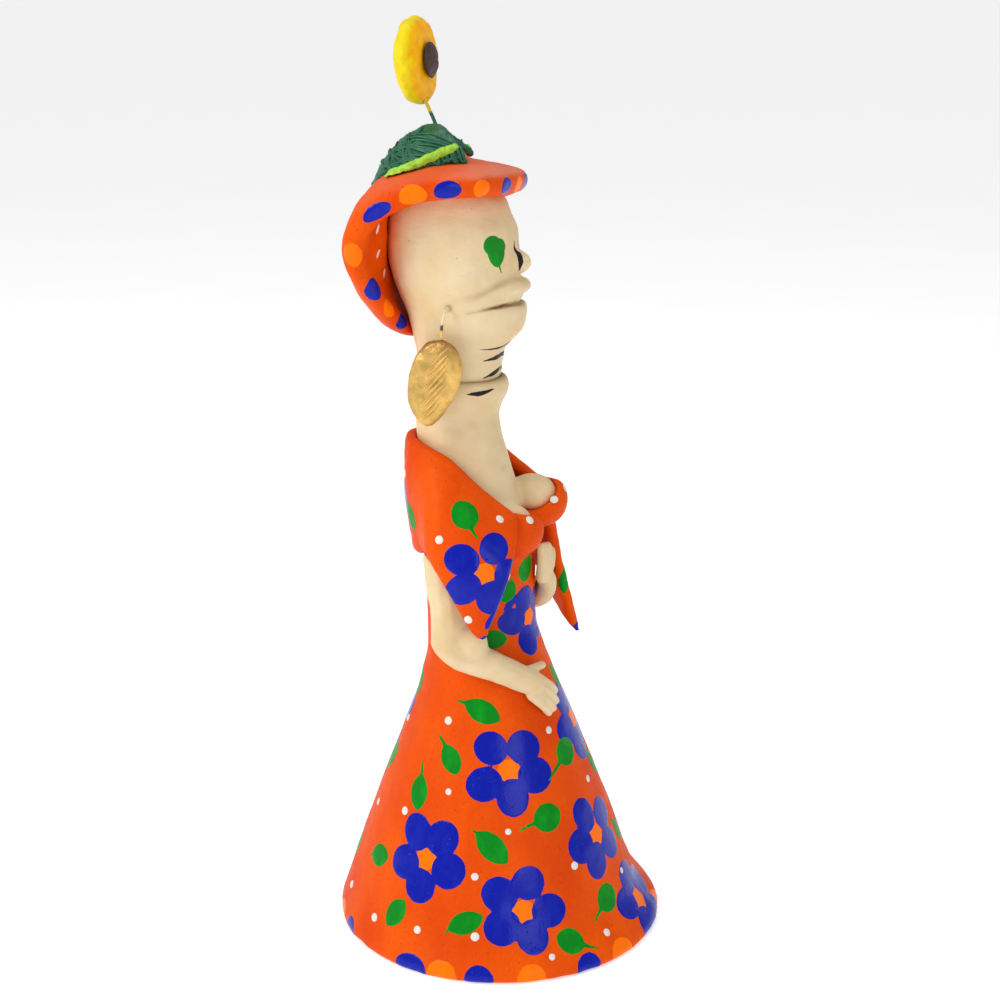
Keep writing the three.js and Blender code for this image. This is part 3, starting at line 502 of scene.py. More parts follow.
def dress_finish(name, layers, with_painted_light_and_shade=False):
    """Brushed orange with fine pores darkened as painted shade, then the coats painted over it; on the hat
    also painted light on faces that turn up and painted shade where it meets the skull.
    """
    recipe = Recipe(name)
    c = colours()
    brushed = recipe.spread(recipe.grain(14, 4.0, (1.0, 1.0, 0.5)), 0.35, 0.68)
    base = recipe.mix(brushed, c.dress, c.dress_deep)
    fine = recipe.grain(0.7, 5.0)
    base = recipe.mix(recipe.spread(fine, 0.4, 0.8, 0.0, 0.3), base, scaled(c.dress_deep, 0.75))
    rough = recipe.spread(recipe.grain(3.0), 0.3, 0.7, 0.44, 0.6)
    height = recipe.spread(fine, 0.2, 0.8, 0.0, 0.03)
    # Each pit is dented and darkened: painted shade in the pores.
    pits = recipe.pits(1.7)
    base = recipe.mix(recipe.spread(pits, 0.05, 0.13, 0.55, 0.0), base, scaled(c.dress_deep, 0.45))
    height = recipe.maths("ADD", height, recipe.spread(pits, 0.0, 0.16, -0.09, 0.0))
    if with_painted_light_and_shade:
        # On the hat, faces that turn up are lightened to salmon: painted light on the brim's top.
        base = recipe.mix(recipe.layer("dust"), base, linear(216, 122, 92))
        # Dark red where the hat lies close to the skull: painted shade between the parts.
        base = recipe.mix(recipe.layer("seam"), base, linear(160, 22, 6))
    for layer in layers:
        base, rough, height = brush_layer(recipe, base, rough, height, layer, *coats()[layer])
    shine = recipe.spread(recipe.layer("blue"), 0.1, -0.1, 0.08, 0.2)
    return recipe.finish(base, rough, height, Specular_IOR_Level=shine)


def bone_finish(name, layers):
    """Cream brushed over paste: warm clouds, faint grey rubs, orange painted light reflected from dress and
    hat, brown painted shade in the creases and between parts.
    """
    recipe = Recipe(name)
    c = colours()
    clouds = recipe.spread(recipe.grain(9, 4.0), 0.38, 0.72)
    base = recipe.mix(clouds, c.bone, c.bone_deep)
    rubs = recipe.spread(recipe.grain(5, 3.0, (1.0, 0.5, 1.6)), 0.64, 0.76, 0.0, 0.22)
    base = recipe.mix(rubs, base, linear(176, 170, 160))
    # Orange tint on the bones near the hat, shawl and dress: painted light reflected from the orange paint.
    base = recipe.mix(recipe.layer("blush"), base, linear(226, 112, 48))
    # Brown in creases and between parts: painted shade.
    base = recipe.mix(recipe.layer("crease"), base, linear(122, 84, 34))
    specks = recipe.spread(recipe.pits(4.5), 0.03, 0.06, 0.35, 0.0)
    base = recipe.mix(specks, base, linear(110, 80, 50))
    fine = recipe.grain(0.8, 5.0)
    brush = recipe.grain(1.0, 3.0, (0.35, 0.35, 1.8))
    height = recipe.spread(fine, 0.2, 0.8, 0.0, 0.03)
    height = recipe.maths("ADD", height, recipe.spread(brush, 0.3, 0.7, 0.0, 0.03))
    rough = recipe.spread(recipe.grain(4.0), 0.3, 0.7, 0.42, 0.58)
    for layer in layers:
        base, rough, height = brush_layer(recipe, base, rough, height, layer, *coats()[layer])
    return recipe.finish(base, rough, height, Specular_IOR_Level=0.18)


def plain_finish(name, first, second, span, relief, roughness, **uniform):
    """Two tones in clouds of `span` mm over a fine relief."""
    recipe = Recipe(name)
    base = recipe.mix(recipe.spread(recipe.grain(span, 4.0), 0.35, 0.68), first, second)
    height = recipe.spread(recipe.grain(span / 4, 4.0), 0.2, 0.8, 0.0, relief)
    rough = recipe.spread(recipe.grain(span / 2), 0.3, 0.7, roughness - 0.06, roughness + 0.08)
    return recipe.finish(base, rough, height, **uniform)


def barb_finish():
    """Dark green in two tones."""
    c = colours()
    return plain_finish("barb_green", c.vane, scaled(c.vane, 0.6), 2.0, 0.04, 0.34)


def rib_finish():
    """Lime in two tones over a coarse relief."""
    c = colours()
    return plain_finish("rib_lime", c.rib, scaled(c.rib, 0.72), 1.6, 0.12, 0.4)


def gold_finish():
    """Gold paint over paste, browner towards the wire."""
    recipe = Recipe("earring_gold")
    c = colours()
    clouds = recipe.spread(recipe.grain(3.5, 4.0), 0.35, 0.7)
    base = recipe.mix(clouds, c.gold, scaled(c.gold, 0.66))
    base = recipe.mix(recipe.layer("tarnish"), base, linear(122, 74, 30))
    height = recipe.spread(recipe.grain(0.8, 4.0), 0.2, 0.8, 0.0, 0.09)
    rough = recipe.spread(recipe.grain(1.6), 0.3, 0.7, 0.32, 0.5)
    return recipe.finish(base, rough, height, Metallic=0.55)


def flower_finish():
    """Pale yellow round the rim and back, orange-yellow on the face, from the `face` layer."""
    recipe = Recipe("flower_yellow")
    c = colours()
    pale = recipe.mix(recipe.spread(recipe.grain(4, 4.0), 0.38, 0.7), c.yellow, scaled(c.yellow, 0.8))
    clouds = recipe.spread(recipe.grain(2, 4.0), 0.38, 0.7)
    warm = recipe.mix(clouds, linear(246, 188, 0), linear(244, 158, 0))
    base = recipe.mix(recipe.layer("face"), pale, warm)
    height = recipe.spread(recipe.grain(1.2, 4.0), 0.2, 0.8, 0.0, 0.1)
    rough = recipe.spread(recipe.grain(2.4), 0.3, 0.7, 0.38, 0.54)
    return recipe.finish(base, rough, height, Specular_IOR_Level=0.12)


def stem_finish():
    """Green paint low on the wire and yellow above, from the `high` layer."""
    recipe = Recipe("stem_paint")
    c = colours()
    base = recipe.mix(recipe.layer("high"), scaled(c.vane, 0.8), linear(222, 190, 30))
    rough = recipe.spread(recipe.grain(1.0), 0.3, 0.7, 0.35, 0.5)
    return recipe.finish(base, rough, recipe.spread(recipe.grain(0.6), 0.2, 0.8, 0.0, 0.06))


def hook_finish():
    """Earring wire: cream where the head's paint ran down it, bare, then gold."""
    recipe = Recipe("hook_paint")
    c = colours()
    base = recipe.mix(recipe.layer("bare"), c.bone, linear(70, 62, 58))
    base = recipe.mix(recipe.layer("gilded"), base, c.gold)
    rough = recipe.spread(recipe.grain(0.8), 0.3, 0.7, 0.35, 0.5)
    return recipe.finish(base, rough, recipe.spread(recipe.grain(0.5), 0.2, 0.8, 0.0, 0.05))


# ------------------------------------------------------------------ node trees for what repeats


def new_tree(name, inputs):
    """A geometry node tree with a mesh input and the given named inputs."""
    tree = bpy.data.node_groups.new(name, "GeometryNodeTree")
    tree.interface.new_socket("Geometry", in_out="INPUT", socket_type="NodeSocketGeometry")
    tree.interface.new_socket("Geometry", in_out="OUTPUT", socket_type="NodeSocketGeometry")
    for label, kind in inputs:
        tree.interface.new_socket(label, in_out="INPUT", socket_type=kind)
    return tree, tree.nodes.new("NodeGroupInput"), tree.nodes.new("NodeGroupOutput")


def named(tree, label, kind):
    """The values stored on the points under a name."""
    node = add_node(tree, "GeometryNodeInputNamedAttribute", {"Name": label}, data_type=kind)
    return node.outputs["Attribute"]


def dome_tree():
    """Sets a flat dome on every point, facing the point's `aim` and sized by its `reach`."""
    labels = [("Rise", "NodeSocketFloat"), ("Finish", "NodeSocketMaterial")]
    tree, start, end = new_tree("paint_domes", labels)
    spots = add_node(tree, "GeometryNodeMeshToPoints", {"Mesh": start.outputs["Geometry"]})
    ball = add_node(tree, "GeometryNodeMeshUVSphere", {"Segments": 20, "Rings": 8, "Radius": 1.0})
    aim = named(tree, "aim", "FLOAT_VECTOR")
    turn = add_node(tree, "FunctionNodeAlignRotationToVector", {"Vector": aim}, axis="Z")
    reach = named(tree, "reach", "FLOAT")
    size = add_node(tree, "ShaderNodeCombineXYZ", {"X": reach, "Y": reach, "Z": start.outputs["Rise"]})
    inputs = {
        "Points": spots.outputs["Points"],
        "Instance": ball.outputs["Mesh"],
        "Rotation": turn.outputs["Rotation"],
        "Scale": size.outputs["Vector"],
    }
    domes = add_node(tree, "GeometryNodeInstanceOnPoints", inputs)
    close_tree(tree, start, end, domes.outputs["Instances"])
    return tree


def strand_tree():
    """Turns chains of points into round strands whose radius is the points' `reach`."""
    labels = [("Sides", "NodeSocketInt"), ("Finish", "NodeSocketMaterial")]
    tree, start, end = new_tree("laid_strands", labels)
    chain = add_node(tree, "GeometryNodeMeshToCurve", {"Mesh": start.outputs["Geometry"]})
    outline = {"Radius": 1.0, "Resolution": start.outputs["Sides"]}
    ring = add_node(tree, "GeometryNodeCurvePrimitiveCircle", outline)
    inputs = {
        "Curve": chain.outputs["Curve"],
        "Profile Curve": ring.outputs["Curve"],
        "Scale": named(tree, "reach", "FLOAT"),
        "Fill Caps": True,
    }
    skin = add_node(tree, "GeometryNodeCurveToMesh", inputs)
    close_tree(tree, start, end, skin.outputs["Mesh"])
    return tree


def close_tree(tree, start, end, geometry):
    """Ends a tree with plain geometry that has the `Finish` input as its material."""
    real = add_node(tree, "GeometryNodeRealizeInstances", {"Geometry": geometry})
    inputs = {"Geometry": real.outputs["Geometry"], "Material": start.outputs["Finish"]}
    finish = add_node(tree, "GeometryNodeSetMaterial", inputs)
    tree.links.new(finish.outputs["Geometry"], end.inputs["Geometry"])


def grown(name, mesh, tree, **inputs):
    """Runs a node tree over a mesh and keeps the plain mesh that it makes."""
    seed = add_object(name + "_seed", mesh)
    modifier = seed.modifiers.new("Nodes", "NODES")
    modifier.node_group = tree
    for item in tree.interface.items_tree:
        if item.in_out == "INPUT" and item.name in inputs:
            modifier[item.identifier] = inputs[item.name]
    piece = baked(seed, name)
    piece.data.shade_smooth()
    return piece


def chains_mesh(name, chains):
    """A mesh of point chains, each a list of (place in mm, radius in mm)."""
    places, edges, radii = [], [], []
    for chain in chains:
        first = len(places)
        places += [Vector(p) * MM for p, _ in chain]
        radii += [r * MM for _, r in chain]
        edges += [(i, i + 1) for i in range(first, first + len(chain) - 1)]
    mesh = bpy.data.meshes.new(name)
    mesh.from_pydata(places, edges, [])
    write_layer(mesh, "reach", radii)
    return mesh


# ------------------------------------------------------------------ dress

SKIRT_MIDDLE = 2.2  # how far back the skirt's middle stands from the origin, in mm
FLOOR_GAP = 0.02
# Places round the skirt are degrees from her right side (-X) towards her front (-Y), then mm up.
SKIRT_FLOWERS = [
    (29, 45.4, 56), (-12.5, 25, 54), (31, 14.8, 0), (76, 26, 36), (91, 6.5, 20), (101, 51, 36),
    (128, 24, 10), (158, 46, 40), (172, 15, 62), (200, 31, 22), (222, 50, 5), (233, 12, 48),
    (256, 27, 66), (268, 50, 30),
]
# Leaves: degrees, mm up, where the stem points, length, width and stem in mm.
SKIRT_LEAVES = [
    (11, 58.4, 155, 9.6, 5.4, 1.6), (-8, 47.2, 125, 7.9, 4.9, 2.4), (-25, 38.3, 97, 8.8, 5.2, 2.8),
    (73, 46.2, 205, 7.4, 6.6, 5.2), (48, 34, 187, 7.6, 6.8, 3.6), (18.5, 29, 133, 10.4, 5.8, 0.6),
    (-41, 20.8, 195, 7.4, 5.4, 0.8), (-22.5, 11.1, 240, 8.4, 5.2, 0.0), (8, 12.5, 205, 9.2, 5.2, 0.8),
    (71, 12, 205, 7.4, 6.6, 3.4), (48, 6.9, 330, 7.6, 6.0, 3.6), (103, 61, 120, 8.0, 4.6, 1.2),
    (103, 39, 110, 7.6, 5.0, 2.0), (102, 21.5, 120, 7.8, 5.0, 1.6),
    (-68, 60, 100, 8.0, 5.0, 1.6), (-66, 41, 250, 8.0, 5.2, 2.0), (-72, 17, 120, 8.2, 5.4, 1.0),
]
SKIRT_DOTS = [
    (-15, 55.4, 1.0), (63, 52.2, 0.95), (-6.3, 40.2, 0.8), (-32, 33, 1.05), (86, 37.7, 0.9),
    (26.5, 32.3, 0.75), (11, 22.6, 0.9), (57.5, 22, 1.0), (-33, 7.7, 1.05), (-11, 9.2, 0.95),
    (12, 9.7, 1.05), (39.5, 4.9, 0.8), (64, 5.9, 0.95), (87.5, 14.5, 0.8), (-63, 51, 0.9),
    (-60, 30, 0.95), (-58, 9, 1.0),
]
# Border spots round the hem: degrees, half length in mm. Blue and amber take turns.
HEM_SPOTS = [(-47, 2.6), (-11, 4.2), (1, 3.7), (14, 3.4), (31.5, 3.4), (52, 3.3), (67, 3.6), (88, 3.2)]
BODICE_FLOWER = ((-2.8, -8.1, 77.8), 38, 0.8)
BODICE_STROKE = ((-8.1, -5.3, 82.7), 2.4, 1.1, 50)
BODICE_LEAVES = [
    ((-4.0, -7.7, 90.2), 75, 6.6, 5.6, 0.8), ((-8.8, -4.8, 85.7), 65, 5.6, 4.6, 0.6),
    ((-11.3, -2.0, 74.4), 0, 7.0, 4.6, 0.0),
]
BODICE_DOTS = [(-9.4, -10.3, 103.9), (3.4, -12.2, 105.8), (8.6, -13.8, 107.0), (13.4, -9, 107)]


def waist_plug(bm):
    """Fills the joint between skirt and bodice, so that they fuse into one dress."""
    size = {"radius1": 12.4 * MM, "radius2": 12.3 * MM, "depth": 4 * MM}
    plug = bmesh.ops.create_cone(bm, cap_ends=True, segments=64, **size)
    bmesh.ops.scale(bm, vec=(1, 1.03, 1), verts=plug["verts"])
    bmesh.ops.translate(bm, vec=(0, 4.7 * MM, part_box("bodice")[0].z), verts=plug["verts"])


def on_skirt(canvas, degrees, up):
    """The dress's outer point in a direction round the skirt, at a height."""
    turn = math.radians(degrees)
    out = Vector((-math.cos(turn), -math.sin(turn), 0))
    start = Vector((0, SKIRT_MIDDLE, up)) + out * 60
    return canvas.tree.ray_cast(start, -out)[0]


def border_spots(canvas):
    """Half-round spots that sit on the hem, all the way round."""
    spots = HEM_SPOTS + [(degrees, 3.5) for degrees in range(104, 312, 14)]
    for i, (degrees, half) in enumerate(spots):
        layer = "amber" if i and i % 2 == 0 else "blue"
        canvas.blob(layer, on_skirt(canvas, degrees, 1.2), half, 2.9)


def scatter_back(canvas):
    """Leaves and dots between the flowers where the skirt turns away, set by a fixed seed."""
    random = np.random.default_rng(SEED)
    taken = [(a, z, 10.5) for a, z, _ in SKIRT_FLOWERS]
    taken += [(row[0], row[1], 6.0) for row in SKIRT_LEAVES]
    for size, tries in ((6.0, 260), (2.2, 160)):
        for _ in range(tries):
            degrees, up = random.uniform(112, 284), random.uniform(8, 64)
            radius = np.interp(up, [0, 28, 76], [40, 29, 13])
            gaps = [math.hypot(math.radians(degrees - a) * radius, up - z) - s - size for a, z, s in taken]
            if min(gaps) < 0.4:
                continue
            taken.append((degrees, up, size))
            where = on_skirt(canvas, degrees, up)
            if size > 3:
                canvas.leaf(where, random.uniform(80, 260), 8.4, 5.4, random.uniform(0.5, 3.0))
            else:
                canvas.dot(where, random.uniform(0.8, 1.05))


def stand(mesh):
    """Keeps a piece from reaching below the surface that the figure stands on."""
    points = points_of(mesh)
    points[:, 2] = np.maximum(points[:, 2], FLOOR_GAP)
    set_points(mesh, points)


class CATRINA_OT_dress(bpy.types.Operator):
    """Fuses skirt and bodice into one painted dress"""

    bl_idname = "catrina.dress"
    bl_label = "Dress"

    def execute(self, context):
        piece = modelled("painted_dress", ["skirt_shell", "bodice"], 0.62, 60, waist_plug)
        knead(piece.data, 0.22, 11, 1)
        canvas = Canvas(piece, "amber", "blue", "green")
        for degrees, up, turn in SKIRT_FLOWERS:
            canvas.flower(on_skirt(canvas, degrees, up), turn)
        canvas.flower(*BODICE_FLOWER)
        for degrees, up, lean, long, wide, stem in SKIRT_LEAVES:
            canvas.leaf(on_skirt(canvas, degrees, up), lean, long, wide, stem)
        for where, *shape in BODICE_LEAVES:
            canvas.leaf(where, *shape)
        border_spots(canvas)
        for degrees, up, size in SKIRT_DOTS:
            canvas.dot(on_skirt(canvas, degrees, up), size)
        canvas.blob("blue", *BODICE_STROKE)
        for where in BODICE_DOTS:
            canvas.dot(where)
        scatter_back(canvas)
        canvas.save()
        stand(piece.data)
        piece.data.materials.append(dress_finish("dress_paint_work", ["amber", "blue", "green"]))
        hand_over(piece, "figure", "dress_paint", "skirt_shell", "bodice")
        WHITE_DOTS.extend(canvas.dots)
        return {"FINISHED"}


# ------------------------------------------------------------------ shawl

# Her right side as it is painted, then her left side and back in the same manner.
SHAWL_FLOWERS = [((-23.3, -4.0, 94.6), -4, 0.9), ((23.4, -4.1, 95.1), 10, 0.9), ((0, 24, 104), 18, 1.0)]
SHAWL_LEAVES = [
    ((-20.1, 1.8, 107), 290, 7.4, 6.2, 2.2), ((21, 1.8, 107), 250, 7.4, 6.2, 2.2),
    ((24, -6, 80), 70, 8.0, 4.6, 1.5), ((17, -11.6, 81), 85, 7.0, 3.0, 0.8),
    ((-13, 18, 103), 150, 8.0, 5.2, 2.0), ((13, 18, 103), 30, 8.0, 5.2, 2.0),
]
SHAWL_STROKES = [
    ((-21.0, -7.6, 87.6), 2.2, 0.9), ((-23.4, -5.7, 83.6), 2.3, 1.0), ((-23.2, -3.9, 79.4), 2.4, 1.0),
    ((18.6, -14.5, 68.0), 1.8, 1.7),
]
SHAWL_DOTS = [
    (-23.7, 6.7, 101.7), (-25.5, -0.7, 84.0), (-18.6, -8.4, 92.8), (-15.4, -5.0, 105.3),
    (23.7, 7, 101.9), (24, -2, 84), (15.6, -5.1, 106.4), (-8, 20, 97), (8, 20, 97),
    (-8, 20, 112), (8, 20, 112),
]


class CATRINA_OT_shawl(bpy.types.Operator):
    """Models and paints the shawl with its two sleeves"""

    bl_idname = "catrina.shawl"
    bl_label = "Shawl"

    def execute(self, context):
        piece = modelled("painted_shawl", ["shawl"], 0.42, 40)
        knead(piece.data, 0.25, 9, 2)
        canvas = Canvas(piece, "amber", "blue", "green")
        for where, turn, size in SHAWL_FLOWERS:
            canvas.flower(where, turn, size)
        for where, *shape in SHAWL_LEAVES:
            canvas.leaf(where, *shape)
        for where, long, wide in SHAWL_STROKES:
            canvas.blob("blue", where, long, wide, 55)
        for where in SHAWL_DOTS:
            canvas.dot(where)
        canvas.save()
        piece.data.materials.append(dress_finish("shawl_paint_work", ["amber", "blue", "green"]))
        hand_over(piece, "figure", "dress_paint", "shawl")
        WHITE_DOTS.extend(canvas.dots)
        return {"FINISHED"}


class CATRINA_OT_dots(bpy.types.Operator):
    """Drops the white paint dots on dress and shawl"""

    bl_idname = "catrina.dots"
    bl_label = "White Dots"

    def execute(self, context):
        mesh = bpy.data.meshes.new("dot_places")
        mesh.from_pydata([spot * MM for spot, _, _ in WHITE_DOTS], [], [])
        aim = mesh.attributes.new("aim", "FLOAT_VECTOR", "POINT")
        aim.data.foreach_set("vector", [value for _, normal, _ in WHITE_DOTS for value in normal])
        write_layer(mesh, "reach", [size * sizes().dot_radius for _, _, size in WHITE_DOTS])
        white = colours().white
        finish = plain_finish("dot_white", white, scaled(white, 0.92), 1.2, 0.03, 0.4)
        piece = grown("paint_dots", mesh, dome_tree(), Rise=sizes().dot_rise, Finish=finish)
        hand_over(piece, "figure", "dress_paint")
        return {"FINISHED"}


# ------------------------------------------------------------------ bones

RIGHT_ELBOW = (-18.6, 2.0, 73.8)
CHEEK_LINE = [
    (-1.6, -5.2, 158.9), (-5.9, -3.1, 157.8), (-8.6, -0.8, 156.4), (-10.8, 2.4, 154.8), (-12, 7, 153.8),
]
NOSTRIL_LINE = [(1.2, -3.9, 166.4), (2.0, -5.2, 164.2), (2.0, -5.6, 162.0), (1.6, -5.0, 159.6)]
BROW_LINE = [(-1.0, -3.6, 166.8), (-4.2, -3.4, 168.6), (-8, -1.6, 169.4), (-11.2, 2, 168.4)]
EAR_HOLE = (12.3, 8.2, 152.3)
# Neck lines: where each starts at the side, where it ends at the front, half width in mm.
NECK_STRIPES = [
    ((-8.6, 2.4, 142.2), (-0.6, -1.8, 143.4), 0.4), ((-6.6, 1.6, 139.5), (-0.4, -0.4, 140.2), 0.62),
    ((-6.6, 2.0, 135.2), (-0.6, 0.0, 136.9), 0.55),
]
SOCKET_STRIPE = [(-9.4, 5.4, 132.3), (-8.2, 2.2, 132.2), (-5.2, -0.4, 133.0)]
SOCKET_RIM = 133.9
MOUTH_SIDE = [(-11.4, 4.0, 151.1), (-9.2, -0.6, 152.2), (-4.4, -4.3, 152.7)]


def both_sides(path):
    """A path on her right and its mirror on her left."""
    return path, [(-x, y, z) for x, y, z in path]


def stripe(canvas, low, high, half):
    """A tapered black line from the side of the neck round to the front, on both sides."""
    middle = [(a + b) / 2 for a, b in zip(low, high)]
    for path in both_sides([low, middle, high]):
        canvas.stroke("black", path, [0.05, 0.55 * half, half, 0.85 * half])


def mouth_plug(bm):
    """Closes the thin mouth slit, which is pressed into the smoothed face afterwards."""
    plug = bmesh.ops.create_cone(bm, cap_ends=True, segments=64, radius1=MM, radius2=MM, depth=1.5 * MM)
    bmesh.ops.scale(bm, vec=(11.8, 13.9, 1), verts=plug["verts"])
    bmesh.ops.translate(bm, vec=(0, 8.7 * MM, 152.4 * MM), verts=plug["verts"])


def paint_eye(canvas, side):
    """A heart-shaped leaf, fuller at the back, with its stem down."""
    canvas.blob("green", (side * 8.0, -0.8, 166.2), 2.2, 2.3, 90)
    canvas.blob("green", (side * 6.8, -1.8, 165.8), 1.9, 2.0, 90)
    canvas.leaf((side * 7.4, -1.5, 164.6), 90, 6.6, 4.6, 0)
    canvas.stroke("green", [(side * 7.2, -1.8, 162.0), (side * 6.5, -2.3, 160.0)], [0.3, 0.12])


class CATRINA_OT_skull(bpy.types.Operator):
    """Models the skull and paints its eyes, nose and neck lines"""

    bl_idname = "catrina.skull"
    bl_label = "Skull"

    def execute(self, context):
        piece = modelled("painted_skull", ["skull"], 0.34, 40, mouth_plug, firm=0.012)
        mesh = piece.data
        knead(mesh, 0.22, 8, 3)
        # Brown laid in the cheek grooves and the mouth slit: painted shade in these hollows.
        crease = np.zeros(len(mesh.vertices))
        for path in both_sides(CHEEK_LINE):
            crease = np.maximum(crease, 0.25 * press(mesh, path, 0.8, 0.7))
        for path in both_sides(BROW_LINE):
            press(mesh, path, 2.4, -0.5)
        right, left = both_sides(MOUTH_SIDE)
        mouth = press(mesh, [*right, (0, -6.2, 152.8), *reversed(left)], 0.45, 1.2)
        corners = np.clip((points_of(mesh)[:, 1] + 5.5) / 3, 0.45, 1)
        crease = np.maximum(crease, np.clip(2.4 * mouth - 0.3, 0, 1) * corners)
        canvas = Canvas(piece, "green", "black")
        for side in (-1, 1):
            paint_eye(canvas, side)
            path = [(side * x, y, z) for x, y, z in NOSTRIL_LINE]
            canvas.stroke("black", path, [0.15, 0.55, 0.6, 0.1])
        for row in NECK_STRIPES:
            stripe(canvas, *row)
        canvas.save(0.04)
        # Orange on the skull near the hat, strongest at the back: painted light reflected from the hat.
        hat = tree_of(joined_mesh("hat_copy", ["hat"]))
        near_hat = distance_to(mesh, hat)
        points = points_of(mesh)
        back = np.clip((points[:, 1] - 2) / 18, 0.45, 1)
        write_layer(mesh, "blush", 0.9 * np.exp(-np.maximum(near_hat - 0.5, 0) / 2.4) * back)
        # Brown round the ear hole: painted shade in the hole.
        hole = np.linalg.norm(np.abs(points) - EAR_HOLE, axis=1)
        crease = np.maximum(crease, 0.6 * np.clip(1.5 - hole / 0.8, 0, 1))
        write_layer(mesh, "crease", crease)
        mesh.materials.append(bone_finish("skull_paint", ["green", "black"]))
        hand_over(piece, "figure", "bone_paint", "skull")
        return {"FINISHED"}


class CATRINA_OT_neck(bpy.types.Operator):
    """Models the bare chest and the neck with its flared socket"""

    bl_idname = "catrina.neck"
    bl_label = "Neck and Chest"

    def execute(self, context):
        piece = modelled("painted_neck", ["neck_and_chest"], 0.42, 30, firm=0.012)
        mesh = piece.data
        knead(mesh, 0.2, 8, 4)
        canvas = Canvas(piece, "black")
        for path in both_sides(SOCKET_STRIPE):
            canvas.stroke("black", path, [0.1, 0.62, 0.15])
        canvas.save(0.04)
        # Orange near the shawl and bodice: painted light reflected from them.
        shawl = tree_of(joined_mesh("shawl_copy", ["shawl", "bodice"]))
        # Brown from the socket's rim upwards: painted shade where the head's neck sits in the socket.
        rim = np.clip((points_of(mesh)[:, 2] - SOCKET_RIM) / 1.2, 0, 1)
        write_layer(mesh, "blush", 0.5 * np.exp(-distance_to(mesh, shawl) / 0.7))
        write_layer(mesh, "crease", 0.6 * rim)
        mesh.materials.append(bone_finish("neck_paint", ["black"]))
        hand_over(piece, "figure", "bone_paint", "neck_and_chest")
        return {"FINISHED"}


class CATRINA_OT_arms(bpy.types.Operator):
    """Models both arms with their hands"""

    bl_idname = "catrina.arms"
    bl_label = "Arms"

    def execute(self, context):
        finish = bone_finish("arm_paint", [])
        dress = tree_of(joined_mesh("dress_copy", ["skirt_shell", "bodice"]))
        for side in ("right", "left"):
            piece = modelled(f"{side}_arm_and_hand", [f"{side}_arm"], 0.25, 14, firm=0.03)
            mesh = piece.data
            if side == "right":
                soften(mesh, RIGHT_ELBOW, 5.0, 160)
            knead(mesh, 0.16, 5, 5)
            # Orange where the arm lies near the dress: painted light reflected from it.
            rest = np.exp(-np.maximum(distance_to(mesh, dress) - 0.3, 0) / 0.5)
            write_layer(mesh, "blush", 0.12 * rest)
            # Brown where the arm lies near the dress: painted shade between arm and dress.
            write_layer(mesh, "crease", 0.45 * rest)
            mesh.materials.append(finish)
            hand_over(piece, "figure", "bone_paint", f"{side}_arm")
        return {"FINISHED"}


# ------------------------------------------------------------------ hat and feathers

# Spots round the brim, all on her right: layer, place in mm, half length, half height, lean.
BRIM_SPOTS = [
    ("amber", (-22.4, 12.4, 178.2), 3.1, 2.2, 10), ("blue", (-20.4, 5.2, 179.3), 3.1, 2.0, 6),
    ("amber", (-15.6, -1.2, 179.4), 2.2, 1.9, 0), ("blue", (-7.4, -3.8, 179.4), 2.4, 1.9, 0),
    ("amber", (0.6, -4.4, 178.8), 2.6, 1.8, 0), ("blue", (-22.9, 20.6, 174.6), 3.7, 1.7, 32),
    ("amber", (-21.6, 27.0, 164.7), 3.0, 2.0, 98), ("blue", (-15.8, 24.4, 156.4), 2.8, 2.0, 118),
    ("amber", (-11.6, 22.6, 151.6), 2.3, 1.5, 118), ("blue", (-7.0, 21.2, 147.8), 1.9, 1.8, 118),
]
BRIM_STROKES = [(-14.8, 23.7, 169.7), (-12.9, 24.3, 163.9), (-8.6, 24.9, 158.9)]
LEFT_BRIM_DROP = 2  # how much lower the brim is on her left, at its full half width
BRIM_HALF_WIDTH = 22


class CATRINA_OT_hat(bpy.types.Operator):
    """Models the folded hat with its crown and paints the border"""

    bl_idname = "catrina.hat"
    bl_label = "Hat"

    def execute(self, context):
        piece = modelled("painted_hat", ["hat", "hat_crown"], 0.46, 50, firm=0.03)
        mesh = piece.data
        knead(mesh, 0.3, 10, 6)
        canvas = Canvas(piece, "amber", "blue", "white")
        for layer, (x, y, z), half_length, half_height, lean in BRIM_SPOTS:
            canvas.blob(layer, (x, y, z), half_length, half_height, lean)
            if x < -4:
                left = (-x, y, z - LEFT_BRIM_DROP * abs(x) / BRIM_HALF_WIDTH)
                canvas.blob(layer, left, half_length, half_height, 180 - lean)
        for right, left in [both_sides([place]) for place in BRIM_STROKES]:
            canvas.blob("white", right[0], 1.2, 0.42, 75)
            canvas.blob("white", left[0], 1.2, 0.42, 105)
        canvas.save()
        points = points_of(mesh)
        normals = normals_of(mesh)
        # Faces that turn up, most at the front, are lightened: painted light on the brim's top.
        upward = np.clip((normals[:, 2] - 0.45) / 0.4, 0, 1)
        front = np.clip((8 - points[:, 1]) / 10, 0, 1)
        write_layer(mesh, "dust", upward * (0.25 + 0.65 * front))
        # Dark red on the hat where it comes close to the skull: painted shade between hat and skull.
        skull = tree_of(joined_mesh("skull_copy", ["skull"]))
        write_layer(mesh, "seam", 0.5 * np.exp(-np.maximum(distance_to(mesh, skull) - 0.35, 0) / 0.4))
        mesh.materials.append(dress_finish("hat_paint_work", ["amber", "blue", "white"], with_painted_light_and_shade=True))
        hand_over(piece, "figure", "dress_paint", "hat", "hat_crown")
        return {"FINISHED"}


